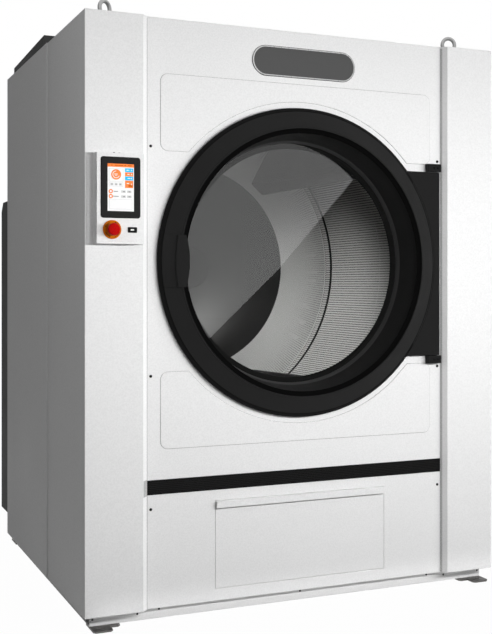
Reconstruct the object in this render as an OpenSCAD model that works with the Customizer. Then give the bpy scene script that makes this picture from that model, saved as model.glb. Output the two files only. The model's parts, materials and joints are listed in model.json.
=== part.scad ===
// Industrial tumble dryer: sheet-steel cabinet, glazed round door, stainless drum on a rear shaft,
// belt drive, steam heater on the roof, exhaust fan at the back and a lint drawer at the front.
// Millimetres. +Z is up, the door faces -Y, and the origin is on the floor under the middle.
// Depths are measured from the front face of the pillars towards the back.

/* [Cabinet] */
// Room between the drum's hoops and the top of the roof sheet
roof_room = 150.5; // [145:0.5:200]
// Height of the panels' lower edges above the floor
floor_gap = 45; // [35:1:70]
// Thickness of the cabinet sheet
sheet_t = 2; // [1.5:0.1:3]
// Width of a pillar's front face
pillar_w = 195; // [180:1:210]
// Width of the bevel between a pillar and the centre panels
pillar_bevel = 20; // [12:1:26]
// Depth of the seam between pillar and side panel
side_seam_d = 526; // [400:1:700]
// How far the side panels stand proud of the pillars
side_proud = 4; // [3:0.5:8]
// Height of the trim strip
trim_h = 48; // [36:1:60]
// Distance of the raised fields from the centre panels' side edges
field_margin = 46; // [36:1:90]
// Corner radius of the raised fields
field_r = 25; // [10:1:40]
// Gap between the door ring and the round border of the raised fields
field_door_gap = 23; // [12:1:36]
// Height of each raised field's far edge above or below the door's centre
field_reach = 621; // [600:1:640]
// Height of each raised field's near edge above or below the door's centre
field_near = 367; // [350:1:400]
// How far the raised fields stand out
field_raise = 2; // [1:0.5:4]

/* [Frame] */
// Inset of the base frame from the pillars' outer sides
skirt_inset = 25; // [15:1:35]
// Setback of the base frame's front behind the pillar fronts
skirt_setback = 40; // [36:1:50]
// Width of the frame's tubes
tube_w = 60; // [50:1:66]
// Height of the base frame's tubes
base_h = 109; // [90:1:115]
// Height of the top frame's tubes
top_tube_h = 40; // [30:1:50]
// Wall of the frame's tubes
tube_wall = 4; // [3:0.5:6]
// Thickness of the foot plates
foot_t = 6; // [5:1:12]
// Side of a foot plate
foot_w = 100; // [90:1:110]
// How far the front foot plates stand out in front of the pillars
foot_front_reach = 18; // [10:1:25]
// How far the rear foot plates stand out behind the rear panel
foot_rear_reach = 60; // [40:1:80]
// Diameter of the anchor bolt holes
anchor_d = 18; // [14:1:22]
// Distance of an anchor hole from its plate's free edge
anchor_edge = 32; // [26:1:36]
// Inset of the anchor holes from the pillars' outer sides
anchor_inset = 54; // [50:1:64]

/* [Door] */
// Height of the door's and the drum's centre above the floor
axis_z = 1190; // [1180:1:1200]
// Radius of the visible glass
glass_r = 426; // [415:0.5:430]
// Width of the bezel round the glass
glass_rim = 7; // [6:0.5:12]
// How much the recess widens from its bottom to its front
recess_flare = 32; // [24:0.5:36]
// Width of the ring's sloping face
ring_band = 61; // [50:0.5:66]
// Width of the ring's rounded shoulder
ring_edge = 12; // [8:0.5:14]
// How far the ring's inner edge stands in front of the pillars
ring_proud = 24; // [15:0.5:30]
// Depth of the ring's back
ring_back_d = 16; // [14:0.5:17]
// Depth of the ring's rounded shoulder
ring_shoulder = 8; // [5:0.5:10]
// Wall of the moulded ring
ring_wall = 4; // [3:0.1:5]
// Depth of the recess
recess_d = 80; // [60:1:90]
// Wall of the recess cone
cone_wall = 3; // [2:0.1:4]
// Depth of the glass's front face
glass_d = 99; // [94:0.5:104]
// Thickness of the glass
glass_t = 6; // [4:0.5:8]
// Half the height of the hinge flange
flange_half_h = 337; // [300:1:360]
// Distance of the hinge axis from the ring's outer edge
hinge_gap = 15; // [12:0.5:17]
// Thickness of the hinge flange
flange_t = 14; // [12:0.5:14]
// Diameter of the hinge pins
hinge_pin_d = 9; // [8:0.5:10]
// Length of a hinge pin inside the door
hinge_pin_reach = 45; // [30:1:60]
// Height of a hinge block
hinge_block_h = 28; // [24:1:34]
// Width of a hinge block
hinge_block_w = 59; // [50:1:64]
// Half the height of the handle plate
handle_half_h = 86; // [60:1:110]
// How far the handle plate overhangs the recess
handle_overhang = 28; // [20:1:36]
// How much smaller the door opening is than the ring's inner edge
opening_step = 5; // [1:0.5:6]

/* [Drum] */
// Inner radius of the drum
drum_r = 640; // [630:1:645]
// Thickness of the drum's sheet
drum_t = 2.5; // [2:0.1:3]
// Length of the drum's straight shell
drum_len = 942; // [900:1:950]
// Depth of the drum's front plate
drum_front_d = 133; // [126:1:138]
// Step in radius from the drum's wall to its rear head
head_step = 185; // [170:1:220]
// Depth of the cone between the shell and the rear disc
head_cone = 90; // [70:1:92]
// Number of lifters
lifter_n = 3; // [2:1:4]
// Height of a lifter from the drum's wall
lifter_h = 190; // [150:1:195]
// Width of a lifter at the drum's wall
lifter_w = 200; // [140:1:240]
// Angle of the first lifter from the right, counted upwards
lifter_angle = 48; // [0:1:119]
// Height of the stiffening hoops round the shell
hoop_h = 12; // [8:1:16]
// Radius of the drum's shaft
shaft_r = 40; // [35:0.5:45]

/* [Drive] */
// Radius of the drum's pulley
drum_pulley_r = 260; // [240:1:280]
// Radius of the motor's pulley
motor_pulley_r = 65; // [60:1:75]
// Distance of the gear motor's shaft from the frame's left tube
motor_gap = 129; // [109:1:131]
// Height of the gear motor's shaft
motor_z = 420; // [400:1:440]
// Radius of the gear motor's body
motor_r = 85; // [75:1:88]
// Radius of the gear motor's shaft
motor_shaft_r = 16; // [14:0.5:20]
// Number of belts
belt_n = 3; // [2:1:4]
// Distance from belt to belt
belt_pitch = 16; // [15:0.5:19]

/* [Exhaust] */
// Distance of the fan to the right of the middle
fan_x = 330; // [325:1:336]
// Height of the fan's axis
fan_z = 430; // [420:1:450]
// Radius of the fan's wheel
fan_r = 185; // [160:1:195]
// Number of fan blades
blade_n = 10; // [6:1:14]
// Smallest radius of the fan's scroll
scroll_r = 205; // [200:1:215]
// Growth of the scroll's radius in one turn
scroll_growth = 120; // [90:1:130]
// Inner radius of the fan's inlet
inlet_r = 118; // [100:1:119]
// Outer radius of the exhaust collar
collar_r = 125; // [100:1:130]
// How far the exhaust collar stands out of the rear housing
collar_len = 80; // [50:1:120]
// Distance of the exhaust collar to the right of the middle
collar_x = 590; // [580:1:600]
// Height of the exhaust collar's centre
collar_z = 910; // [900:1:930]
// Depth of the rear housing behind the rear panel
housing_d = 294; // [292:1:320]
// Height of the rear housing's lower edge
housing_z = 100; // [90:1:120]
// Room between the drum's pulley and the rear housing's top
housing_room = 34; // [25:1:150]

/* [Heater] */
// Depth of the heater housing's front
heater_front_d = 700; // [650:1:740]
// Height of the heater housing above the roof at its front
heater_h = 68; // [60:1:90]
// Fall of the heater housing's top towards the back
heater_fall = 17; // [0:1:20]
// Number of fins on the heater coil
fin_n = 20; // [10:1:40]
// Outer radius of the steam pipes
steam_r = 16.85; // [13.45:0.1:21.2]
// How far the steam pipes stand out of the back
steam_len = 56; // [40:1:80]

/* [Lint drawer] */
// Width of the drawer's front
drawer_w = 655; // [600:1:700]
// Distance of the drawer's front below the trim strip
drawer_drop = 38; // [30:1:60]
// Height of the drawer front's lower edge above the floor
drawer_z = 87; // [84:1:100]
// Gap round the drawer's front
drawer_gap = 3.5; // [2:0.5:5]
// Length of the drawer's tray
tray_len = 650; // [500:1:700]
// Height of the tray's walls
tray_h = 150; // [100:1:180]
// How far the pull lip stands out
lip_proud = 11; // [9:1:18]
// Height of the pull lip
lip_h = 22; // [16:1:30]

/* [Control box] */
// Width of the control box
box_w = 157; // [150:1:160]
// Height of the control box
box_h = 290; // [280:1:310]
// Depth of the control box without its cover
box_d = 40; // [34:1:50]
// Distance of the control box from the pillar's outer side
box_inset = 27; // [22:1:34]
// Height of the control box's lower edge
box_z = 1243; // [1200:1:1260]
// Width of the screen
screen_w = 87; // [80:1:95]
// Height of the screen
screen_h = 151; // [140:1:155]
// Width of the black frame round the screen
bezel_w = 20; // [14:1:24]
// Radius of the emergency stop's disc
stop_disc_r = 30; // [25:1:32]
// Radius of the emergency stop's cap
stop_cap_r = 20; // [16:1:24]
// Travel of the emergency stop
stop_travel = 6; // [4:0.5:7]

/* [Lifting eyes and screws] */
// Inner radius of a lifting eye
eye_r = 17.5; // [14:0.5:20]
// Thickness of a lifting eye's bar
eye_bar = 14; // [10:0.5:16]
// Inset of the lifting eyes from the pillars' outer sides
eye_inset = 102; // [95:1:115]
// Depth of the lifting eyes behind the pillar fronts
eye_d = 131; // [110:1:140]
// Radius of the panel screws' heads
screw_r = 5; // [3:0.5:6]

/* [Hidden] */

$fn = 96;
round_fn = 160;
cut = 1;
gap = 0.3;
run_clear = 0.03;
slip_clear = 0.05;

white = [0.93, 0.93, 0.93];
shade_grey = [0.46, 0.46, 0.47];
dark_grey = [0.25, 0.26, 0.28];
matte_black = [0.06, 0.06, 0.06];
gloss_black = [0.02, 0.02, 0.02];
stainless = [0.72, 0.72, 0.72];
zinc = [0.6, 0.62, 0.63];
rubber = [0.1, 0.1, 0.1];
stop_red = [0.75, 0.06, 0.06];
stop_yellow = [0.95, 0.6, 0.05];

recess_r = glass_r + glass_rim;
ring_lip_r = recess_r + recess_flare;
ring_face_r = ring_lip_r + ring_band;
ring_r = ring_face_r + ring_edge;
opening_r = ring_lip_r - opening_step;
hinge_x = ring_r + hinge_gap;
hinge_margin = 16;

centre_d = pillar_bevel;
centre_half = hinge_x + hinge_margin;
half_w = centre_half + pillar_bevel + pillar_w;
body_h = axis_z + drum_r + drum_t + hoop_h + roof_room;
panel_top = body_h - sheet_t;
flange_w = skirt_inset;
frame_x = half_w - skirt_inset;
frame_z = foot_t;
base_top = frame_z + base_h;
top_rail_z = panel_top - top_tube_h;
tube_in_x = frame_x - tube_w;
trim_drop = 770;
trim_z = axis_z - trim_drop;
field_w = 2 * (centre_half - field_margin);
field_door_r = ring_r + field_door_gap;
screw_rise = 379;
eye_turns = [32, -14];

// The depths follow one another from the drum's front to the cabinet's back
drum_end_d = drum_front_d + drum_len;
head_d = drum_end_d + head_cone;
head_r = drum_r - head_step;
hub_r = 110;
hub_t = 32;
arm_root = 70;
arm_tip = 30;
shaft_start = head_d + drum_t;
hub_back = shaft_start + hub_t;
hub_gap = 4.5;
housing_flange_t = 6;
beam_plate_t = 12;
bearing_start = hub_back + hub_gap;
plate_d = bearing_start + housing_flange_t;
rear_rail_d = plate_d + beam_plate_t;
frame_back = rear_rail_d + tube_w;
cabinet_d = frame_back + sheet_t;
crossbars = [0.38 * cabinet_d, 0.7 * cabinet_d];

stop_cap_back = box_d + 18;
stop_cap_t = 15;
front_reach = stop_cap_back + stop_cap_t;
rear_reach = cabinet_d + housing_d + collar_len;
front_y = (front_reach - rear_reach) / 2;

cover_t = 3;
box_x0 = box_inset - half_w;
box_mid_x = box_x0 + box_w / 2;
bezel_t = 3;
bezel_h = screen_h + 2 * bezel_w;
bezel_top = box_z + box_h - 15;
screen_z = bezel_top - bezel_h / 2;
stop_x = box_x0 + 50;
stop_z = box_z + 45;
stop_disc_t = 6;
stem_r = 8;
stem_nose = 8;
contact_d = 22;
usb_x = box_x0 + 117.5;
usb_z = box_z + 45;
usb_w = 31;
usb_h = 18;

hinge_d = ring_back_d + 2 - flange_t / 2;
strip_rib = 6;
strip_front_d = centre_d - 2;
opening_seal_r = opening_r + 24;
tube_r = recess_r + cone_wall;
clamp_t = 5;
clamp_r = glass_r - 19;
door_tail_d = glass_d + glass_t + clamp_t;

collar_wall = 3;
felt_r = opening_r + collar_wall;
mouth_r = felt_r + 9;
mouth_lip = 17;
head_cover_r = 92;
head_cover_t = 5;
sheet_seam = 0.15;
bearing_r = shaft_r + 22.5;
bearing_w = 31;
bearing_tube_r = bearing_r + 32.5;
bearing_tube_len = 142;
housing_flange_r = bearing_tube_r + 45;
beam_in = bearing_tube_r + 15;
beam_w = 80;
pulley_d = bearing_start + bearing_tube_len + 6;
pulley_w = belt_n * belt_pitch + 12;
belt_w = 8.4;
belt_t = 8;
groove_depth = 12;
groove_top = 13;
groove_foot = 8;
shaft_end = pulley_d + pulley_w + 12;
tip_r = drum_r - lifter_h;
lifter_foot_r = sqrt(pow(drum_r, 2) - pow(lifter_w / 2, 2));
lifter_d = drum_front_d + 30;
lifter_fall = 35;
lifter_tip_end = drum_end_d - 2 + head_cone * (lifter_h - lifter_fall) / head_step;

housing_top = axis_z + drum_pulley_r + housing_room;
motor_x = tube_in_x - motor_gap;
scroll_d = cabinet_d + 6;
scroll_w = 140;
scroll_start = 25;
scroll_out_z = collar_z - collar_r - 25;
scroll_far_x = fan_x + scroll_r + scroll_growth;
fan_shaft_r = 14;
box_reach = collar_r + 10;
duct_back = cabinet_d + housing_d - 8;
fan_motor_r = 85;
fan_motor_len = 122;

coil_margin = 99;
case_len = 380;
coil_half = tube_in_x - coil_margin;
case_half = coil_half + 50;
case_d0 = heater_front_d + 80;
case_d1 = case_d0 + case_len;
pipe_neck = 2;
case_z0 = axis_z + drum_r + drum_t + hoop_h + 25;
case_z1 = body_h + 38;
pipe_x = coil_half + 22;
pipe_z = body_h + 25;

tray_half = drawer_w / 2 - 8;
tray_d0 = skirt_setback - 2;
tray_z0 = base_top + 75;
drawer_face_t = sheet_t;
drawer_h = trim_z - drawer_drop - drawer_z;
plenum_half = 470;
plenum_drop = 550;
plenum_top = axis_z - plenum_drop;
ledge_w = 15;
screen_frame_t = 6;

// A closed outline of a folded sheet: the given line, then the same line moved to its left
function unit(v) = v / norm(v);
function left_of(a, b) = let (u = unit(b - a)) [-u.y, u.x];
function moved_line(p, t) = [for (i = [0 : len(p) - 1])
    let (n1 = i > 0 ? left_of(p[i - 1], p[i]) : left_of(p[0], p[1]),
         n2 = i < len(p) - 1 ? left_of(p[i], p[i + 1]) : n1)
    p[i] + t * (n1 + n2) / (1 + n1 * n2)];
function reversed(p) = [for (i = [len(p) - 1 : -1 : 0]) p[i]];
module folded_sheet(p, t = sheet_t) polygon(concat(p, reversed(moved_line(p, t))));

// Radius of the recess cone's inner face at a depth
function cone_r(d) = ring_lip_r - (ring_lip_r - recess_r) * (d + ring_proud) / (recess_d + ring_proud);

// A box between two corners, each given as [low, high] in x, depth and z
module block(x, d, z)
    translate([x[0], front_y + d[0], z[0]]) cube([x[1] - x[0], d[1] - d[0], z[1] - z[0]]);

// A flat drawing in x and z, given a thickness towards the back
module plate(d, t) translate([0, front_y + d + t, 0]) rotate([90, 0, 0]) linear_extrude(t) children();

// A flat drawing in x and depth, raised along z
module column(z, h) translate([0, front_y, z]) linear_extrude(h) children();

// A flat drawing in depth and z, drawn out along x
module along_x(x, w) translate([x, front_y, 0]) rotate([90, 0, 90]) linear_extrude(w) children();

// A drawing in radius and depth, turned about an axis that runs front to back
module turned(x = 0, z = axis_z)
    translate([x, front_y, z]) rotate([-90, 0, 0]) rotate_extrude($fn = round_fn) children();

module rod(x, z, d, r) translate([x, front_y + d[0], z]) rotate([-90, 0, 0]) cylinder(h = d[1] - d[0], r = r);

module upright(x, d, z, r) translate([x, front_y + d, z[0]]) cylinder(h = z[1] - z[0], r = r);

module both_sides() {
    children();
    mirror([1, 0, 0]) children();
}

module rounded(size, r) {
    square([size.x - 2 * r, size.y], center = true);
    square([size.x, size.y - 2 * r], center = true);
    for (x = [-1, 1], y = [-1, 1])
        translate([x * (size.x / 2 - r), y * (size.y / 2 - r)]) circle(r);
}

module slot(length, width) {
    square([length - width, width], center = true);
    for (x = [-1, 1]) translate([x * (length - width) / 2, 0]) circle(width / 2);
}

module ring(r_out, r_in) difference() {
    circle(r_out, $fn = round_fn);
    circle(r_in, $fn = round_fn);
}

// A square tube between two corners, hollow along one axis: 0 for x, 1 for depth, 2 for z
module tube(x, d, z, way) {
    w = [for (i = [0 : 2]) i == way ? -cut : tube_wall];
    difference() {
        block(x, d, z);
        block([x[0] + w[0], x[1] - w[0]], [d[0] + w[1], d[1] - w[1]], [z[0] + w[2], z[1] - w[2]]);
    }
}

// Frame

module base_frame() color(white) {
    z = [frame_z, base_top];
    for (d = [skirt_setback, rear_rail_d]) tube([-frame_x, frame_x], [d, d + tube_w], z, 0);
    both_sides() tube([tube_in_x, frame_x], [skirt_setback + tube_w, rear_rail_d], z, 1);
    for (d = crossbars) tube([-tube_in_x, tube_in_x], [d, d + tube_w], [base_top - tube_w, base_top], 0);
}

// A foot plate has a long tongue for the anchor and beside it a short one
module foot_outline(free_edge, inner_edge) {
    s = sign(inner_edge - free_edge);
    short_edge = free_edge + 40 * s;
    nick = 8;
    inner = frame_x - foot_w;
    tongue = frame_x - 65;
    polygon([[frame_x, inner_edge], [frame_x, free_edge + nick * s], [frame_x - nick, free_edge],
             [tongue + nick, free_edge], [tongue, free_edge + nick * s], [tongue, short_edge],
             [inner + nick, short_edge], [inner, short_edge + nick * s], [inner, inner_edge]]);
}

module foot_plates() color(zinc) both_sides() difference() {
    column(0, foot_t) {
        foot_outline(-foot_front_reach, foot_w - foot_front_reach);
        foot_outline(cabinet_d + foot_rear_reach, cabinet_d + foot_rear_reach - foot_w);
    }
    for (d = [anchor_edge - foot_front_reach, cabinet_d + foot_rear_reach - anchor_edge])
        upright(half_w - anchor_inset, d, [-cut, foot_t + cut], anchor_d / 2);
}

module upper_frame() color(dark_grey) {
    z = [top_rail_z, panel_top];
    both_sides() for (d = [skirt_setback, rear_rail_d])
        tube([tube_in_x, frame_x], [d, d + tube_w], [base_top, top_rail_z], 2);
    for (d = [skirt_setback, rear_rail_d]) tube([-frame_x, frame_x], [d, d + tube_w], z, 0);
    both_sides() tube([tube_in_x, frame_x], [skirt_setback + tube_w, rear_rail_d], z, 1);
}

module bearing_beams() color(dark_grey) {
    both_sides() tube([beam_in, beam_in + beam_w], [rear_rail_d, frame_back], [base_top, top_rail_z], 2);
    plate(plate_d, rear_rail_d - plate_d) difference() {
        translate([0, axis_z]) rounded([2 * (beam_in + beam_w), 340], 30);
        translate([0, axis_z]) circle(bearing_tube_r);
    }
}

// Cabinet panels

function pillar_line() = [
    [centre_half, skirt_setback], [centre_half, centre_d], [half_w - pillar_w, 0], [half_w, 0],
    [half_w, side_seam_d], [half_w - flange_w, side_seam_d]];

module pillar_cover() {
    column(floor_gap, panel_top - floor_gap) folded_sheet(pillar_line());
    column(floor_gap, sheet_t) polygon(concat(pillar_line(), [[frame_x, skirt_setback]]));
}

module left_pillar_cover() color(white) mirror([1, 0, 0]) pillar_cover();

module right_pillar_cover() color(white) pillar_cover();

module side_panel() {
    line = [[frame_x, side_seam_d], [half_w + side_proud, side_seam_d],
            [half_w + side_proud, cabinet_d], [frame_x, cabinet_d]];
    column(floor_gap, panel_top - floor_gap) folded_sheet(line);
    column(floor_gap, sheet_t) polygon(line);
}

module left_side_panel() color(shade_grey) mirror([1, 0, 0]) side_panel();

module right_side_panel() color(white) side_panel();

// A pan with its face at the centre panels' depth and its edges folded back to the frame
module pan(half, z) difference() {
    block([-half, half], [centre_d, skirt_setback], z);
    block([sheet_t - half, half - sheet_t], [centre_d + sheet_t, skirt_setback + cut],
          [z[0] + sheet_t, z[1] - sheet_t]);
}

// One raised field: a rounded rectangle cut off by the round border of the door
module field_outline(side, inset) difference() {
    translate([0, axis_z + side * (field_reach + field_near) / 2])
        rounded([field_w - 2 * inset, field_reach - field_near - 2 * inset], field_r - inset / 2);
    translate([0, axis_z]) circle(field_door_r + inset, $fn = round_fn);
}

module front_upper_panel() color(white) difference() {
    union() {
        pan(centre_half, [trim_z + trim_h, panel_top]);
        for (side = [-1, 1]) plate(centre_d - field_raise, field_raise) field_outline(side, 0);
    }
    for (side = [-1, 1]) plate(centre_d, sheet_t + cut) field_outline(side, sheet_t);
    rod(0, axis_z, [0, skirt_setback + cut], opening_r, $fn = round_fn);
    magnet_shape(gap);
}

module front_lower_panel() color(white) difference() {
    pan(centre_half, [floor_gap, trim_z]);
    block([-drawer_w / 2 - drawer_gap, drawer_w / 2 + drawer_gap], [0, centre_d + sheet_t + cut],
          [drawer_z - drawer_gap, drawer_z + drawer_h + drawer_gap]);
}

module trim_strip() color(matte_black) {
    ribs = floor(trim_h / strip_rib);
    pitch = trim_h / ribs;
    along_x(-centre_half, 2 * centre_half) polygon(concat(
        [for (i = [0 : ribs - 1], p = [[0, 0], [0, 0.65], [2, 0.65], [2, 1]])
            [strip_front_d + p.x, trim_z + (i + p.y) * pitch]],
        [[skirt_setback, trim_z + trim_h], [skirt_setback, trim_z]]));
}

module roof_panel() color(white) difference() {
    column(panel_top, sheet_t) polygon([
        [-half_w, 0], [pillar_w - half_w, 0], [-centre_half, centre_d], [centre_half, centre_d],
        [half_w - pillar_w, 0], [half_w, 0], [half_w, side_seam_d], [half_w + side_proud, side_seam_d],
        [half_w + side_proud, cabinet_d], [-half_w - side_proud, cabinet_d],
        [-half_w - side_proud, side_seam_d], [-half_w, side_seam_d]]);
    block([-case_half, case_half], [case_d0, case_d1], [panel_top - cut, body_h + cut]);
}

module rear_panel() color(zinc) plate(frame_back, sheet_t) difference() {
    translate([-frame_x, floor_gap]) square([2 * frame_x, panel_top - floor_gap]);
    translate([0, axis_z]) circle(bearing_tube_r + 3);
    translate([fan_x, fan_z]) circle(inlet_r + sheet_t + 1);
    translate([-motor_x, motor_z]) circle(motor_shaft_r + 20);
}

// Eye bolts, each turned as far as its thread let it
module lifting_eyes() color(zinc) for (i = [0, 1])
    translate([(2 * i - 1) * (half_w - eye_inset), front_y + eye_d, body_h]) rotate(eye_turns[i]) {
        r = eye_r + eye_bar / 2;
        cylinder(h = 6, r = eye_r);
        translate([0, 0, 6]) cylinder(h = 8, r = eye_bar / 2);
        translate([0, 0, 9 + r + eye_bar / 2]) rotate([90, 0, 0])
            rotate_extrude() translate([r, 0]) circle(eye_bar / 2);
    }

module panel_screws() color(dark_grey) {
    skirt_face = [skirt_setback - 1.5, skirt_setback];
    both_sides() {
        for (z = [axis_z + screw_rise, axis_z - screw_rise, trim_z - trim_h])
            rod(centre_half - 12, z, [centre_d - 1.5, centre_d], screw_r);
        rod(centre_half - 47, floor_gap - 9, skirt_face, screw_r - 1.5);
        for (inset = [35, 187]) rod(half_w - inset, floor_gap - 17, skirt_face, screw_r - 1.5);
    }
    for (side = [-1, 1], x = [20, 4])
        rod(hinge_x - x, axis_z + side * (flange_half_h + 2 + hinge_block_h / 2), [-1, 0], screw_r - 1.5);
    rod(0, floor_gap - 9, skirt_face, screw_r - 1.5);
    upright(box_mid_x, -box_d * 0.7, [box_z + box_h, box_z + box_h + 2], screw_r - 1);
}

// Heater on the roof

module heater_housing() color(dark_grey) difference() {
    top = [[heater_front_d, body_h + heater_h], [cabinet_d, body_h + heater_h - heater_fall]];
    along_x(-frame_x, 2 * frame_x) polygon([
        [heater_front_d, body_h], top[0], top[1], [cabinet_d, body_h]]);
    along_x(sheet_t - frame_x, 2 * (frame_x - sheet_t)) polygon([
        [heater_front_d + sheet_t, body_h - cut], top[0] + [sheet_t, -sheet_t],
        top[1] - [sheet_t, sheet_t], [cabinet_d - sheet_t, body_h - cut]]);
    for (i = [-14 : 14])
        plate(heater_front_d - cut, sheet_t + 2 * cut)
            translate([i * 40, body_h + 30]) rotate(90) slot(36, 14);
    for (s = [-1, 1]) rod(s * pipe_x, pipe_z, [cabinet_d - 10, cabinet_d + cut], steam_r + 0.5);
}

module heater_coil() color(zinc) {
    tube_gap = (case_d1 - case_d0) / 6;
    difference() {
        union() {
            block([-case_half, case_half], [case_d0, case_d1], [case_z0, case_z1]);
            block([-case_half - 20, case_half + 20], [case_d0 - 20, case_d1 + 20],
                  [body_h, body_h + sheet_t]);
        }
        block([sheet_t - case_half, case_half - sheet_t], [case_d0 + sheet_t, case_d1 - sheet_t],
              [case_z0 - cut, case_z1 + cut]);
    }
    for (i = [0 : fin_n - 1])
        translate([(i + 0.5) * 2 * coil_half / fin_n - coil_half, 0, 0])
            block([-0.75, 0.75], [case_d0 + sheet_t, case_d1 - sheet_t], [case_z0 + 20, body_h]);
    for (i = [0 : 5], z = [case_z0 + 45, body_h - 25])
        translate([-coil_half - 10, front_y + case_d0 + (i + 0.5) * tube_gap, z])
            rotate([0, 90, 0]) cylinder(h = 2 * coil_half + 20, r = 8, $fn = 24);
    both_sides() {
        block([coil_half + 2, coil_half + 42], [case_d0 + sheet_t, case_d1 - sheet_t],
              [case_z0 + 20, body_h + 30]);
        rod(pipe_x, pipe_z, [case_d1 - 10, cabinet_d + steam_len], steam_r - pipe_neck);
        rod(pipe_x, pipe_z, [cabinet_d, cabinet_d + steam_len], steam_r);
    }
}

// Rear housing, fan and exhaust

function housing_line(inset) =
    let (d0 = cabinet_d - inset * 2, d1 = cabinet_d + housing_d - inset,
         z0 = housing_z + inset, z1 = housing_top - inset)
    [[d0, z0], [d1, z0], [d1, z1 - 40], [d1 - 38, z1], [d0, z1]];

module rear_housing() color(dark_grey) difference() {
    along_x(-frame_x, 2 * frame_x) polygon(housing_line(0));
    along_x(sheet_t - frame_x, 2 * (frame_x - sheet_t)) polygon(housing_line(sheet_t));
    rod(collar_x, collar_z, [cabinet_d + housing_d - 10, cabinet_d + housing_d + cut], collar_r + 2);
    for (x = [-motor_x + 150, fan_x - 150], i = [0 : 9])
        plate(cabinet_d + housing_d - sheet_t - cut, sheet_t + 2 * cut)
            translate([x, housing_z + 130 + i * 32]) slot(220, 10);
}

module exhaust_duct() color(zinc) {
    x = [collar_x - box_reach, collar_x + box_reach];
    z = [scroll_out_z, collar_z + box_reach];
    difference() {
        block(x, [scroll_d, duct_back], z);
        block(x + [sheet_t, -sheet_t], [scroll_d + sheet_t, duct_back - sheet_t], z + [sheet_t, -sheet_t]);
        block([fan_x + scroll_r + sheet_t, scroll_far_x - sheet_t],
              [scroll_d + sheet_t, scroll_d + scroll_w - sheet_t], [z[0] - cut, z[0] + sheet_t + cut]);
        rod(collar_x, collar_z, [duct_back - 10, duct_back + cut], collar_r - sheet_t);
    }
    turned(collar_x, collar_z) polygon([
        [collar_r - sheet_t, duct_back - 1], [collar_r - sheet_t / 2, duct_back - 1],
        [collar_r - sheet_t / 2, cabinet_d + housing_d], [collar_r, cabinet_d + housing_d],
        [collar_r, rear_reach], [collar_r - sheet_t, rear_reach]]);
}

// The scroll's outline in x and z: an even spiral from the tongue round to the upward outlet
module scroll_outline(inset, over) {
    spiral = [for (i = [0 : 36]) let (a = scroll_start + (360 - scroll_start) * i / 36)
        [fan_x, fan_z] + (scroll_r + scroll_growth * a / 360 - inset) * [cos(a), sin(a)]];
    polygon(concat(spiral, [[scroll_far_x - inset, scroll_out_z + over],
                            [fan_x + scroll_r + inset, scroll_out_z + over]]));
}

module fan_scroll() color(zinc) difference() {
    plate(scroll_d, scroll_w) scroll_outline(0, 0);
    plate(scroll_d + sheet_t, scroll_w - 2 * sheet_t) scroll_outline(sheet_t, cut);
    rod(fan_x, fan_z, [scroll_d - cut, scroll_d + sheet_t + cut], inlet_r);
    rod(fan_x, fan_z, [scroll_d + scroll_w - 10, scroll_d + scroll_w + cut], fan_shaft_r + 4);
}

// A backward-curved blade: a thin plate between two arcs that lean against the turn
function blade_point(t, side) =
    let (r = fan_r * (0.5 + 0.48 * t), a = -50 * t * t + 0.8 * side) r * [cos(a), sin(a)];

module fan_impeller() color(zinc) {
    front = scroll_d + 38;
    back = scroll_d + scroll_w - 25;
    rod(fan_x, fan_z, [back, back + 3], fan_r);
    plate(front, 2) translate([fan_x, fan_z]) ring(fan_r, inlet_r - 3);
    for (i = [0 : blade_n - 1])
        plate(front, back - front + 1) translate([fan_x, fan_z]) rotate(i * 360 / blade_n) polygon(concat(
            [for (k = [0 : 6]) blade_point(k / 6, -1)], [for (k = [6 : -1 : 0]) blade_point(k / 6, 1)]));
    rod(fan_x, fan_z, [back - 30, back + 1], 34);
    rod(fan_x, fan_z, [back, scroll_d + scroll_w + 70], fan_shaft_r);
}

// A ribbed motor body with its bore at the shaft end
module motor_body(x, z, d, r, bore_r, bore_d) difference() {
    union() {
        rod(x, z, d, r);
        for (a = [0 : 30 : 330])
            plate(d[0] + 20, d[1] - d[0] - 40)
                translate([x, z]) rotate(a) translate([r - 2, -2]) square([10, 4]);
    }
    rod(x, z, bore_d, bore_r);
}

module fan_motor() color(shade_grey) {
    d0 = scroll_d + scroll_w;
    difference() {
        rod(fan_x, fan_z, [d0, d0 + 10], fan_motor_r + 15);
        rod(fan_x, fan_z, [d0 - cut, d0 + 11], fan_shaft_r + run_clear);
    }
    motor_body(fan_x, fan_z, [d0 + 10, d0 + fan_motor_len], fan_motor_r, fan_shaft_r + run_clear,
               [d0, d0 + 75]);
}

// Belt drive

module gear_motor() color(shade_grey) {
    d1 = frame_back - 6;
    motor_body(-motor_x, motor_z, [d1 - 370, d1 - 90], motor_r, motor_shaft_r + run_clear, [d1 - 95, d1]);
    difference() {
        block([-motor_x - motor_r - 5, motor_r + 5 - motor_x], [d1 - 90, d1], [motor_z - 120, motor_z + 100]);
        rod(-motor_x, motor_z, [d1 - 91, d1 + cut], motor_shaft_r + run_clear);
    }
    block([-motor_x - 80, 80 - motor_x], [d1 - 80, d1 - 10], [base_top, motor_z - 119]);
    block([-motor_x - 12, 12 - motor_x], [d1 - 340, d1 - 80], [base_top, motor_z - motor_r + 4]);
    block([-motor_x - 90, 90 - motor_x], [crossbars[1], frame_back], [base_top, base_top + 10]);
}

// Half a pulley rim's section in radius and depth, with one groove for each belt
function pulley_points(r) = concat([[r, pulley_d]],
    [for (i = [0 : belt_n - 1], p = [[0, -groove_top], [-groove_depth, -groove_foot],
                                     [-groove_depth, groove_foot], [0, groove_top]])
        [r + p.x, pulley_d + 6 + (i + 0.5) * belt_pitch + p.y / 2]],
    [[r, pulley_d + pulley_w]]);

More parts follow.
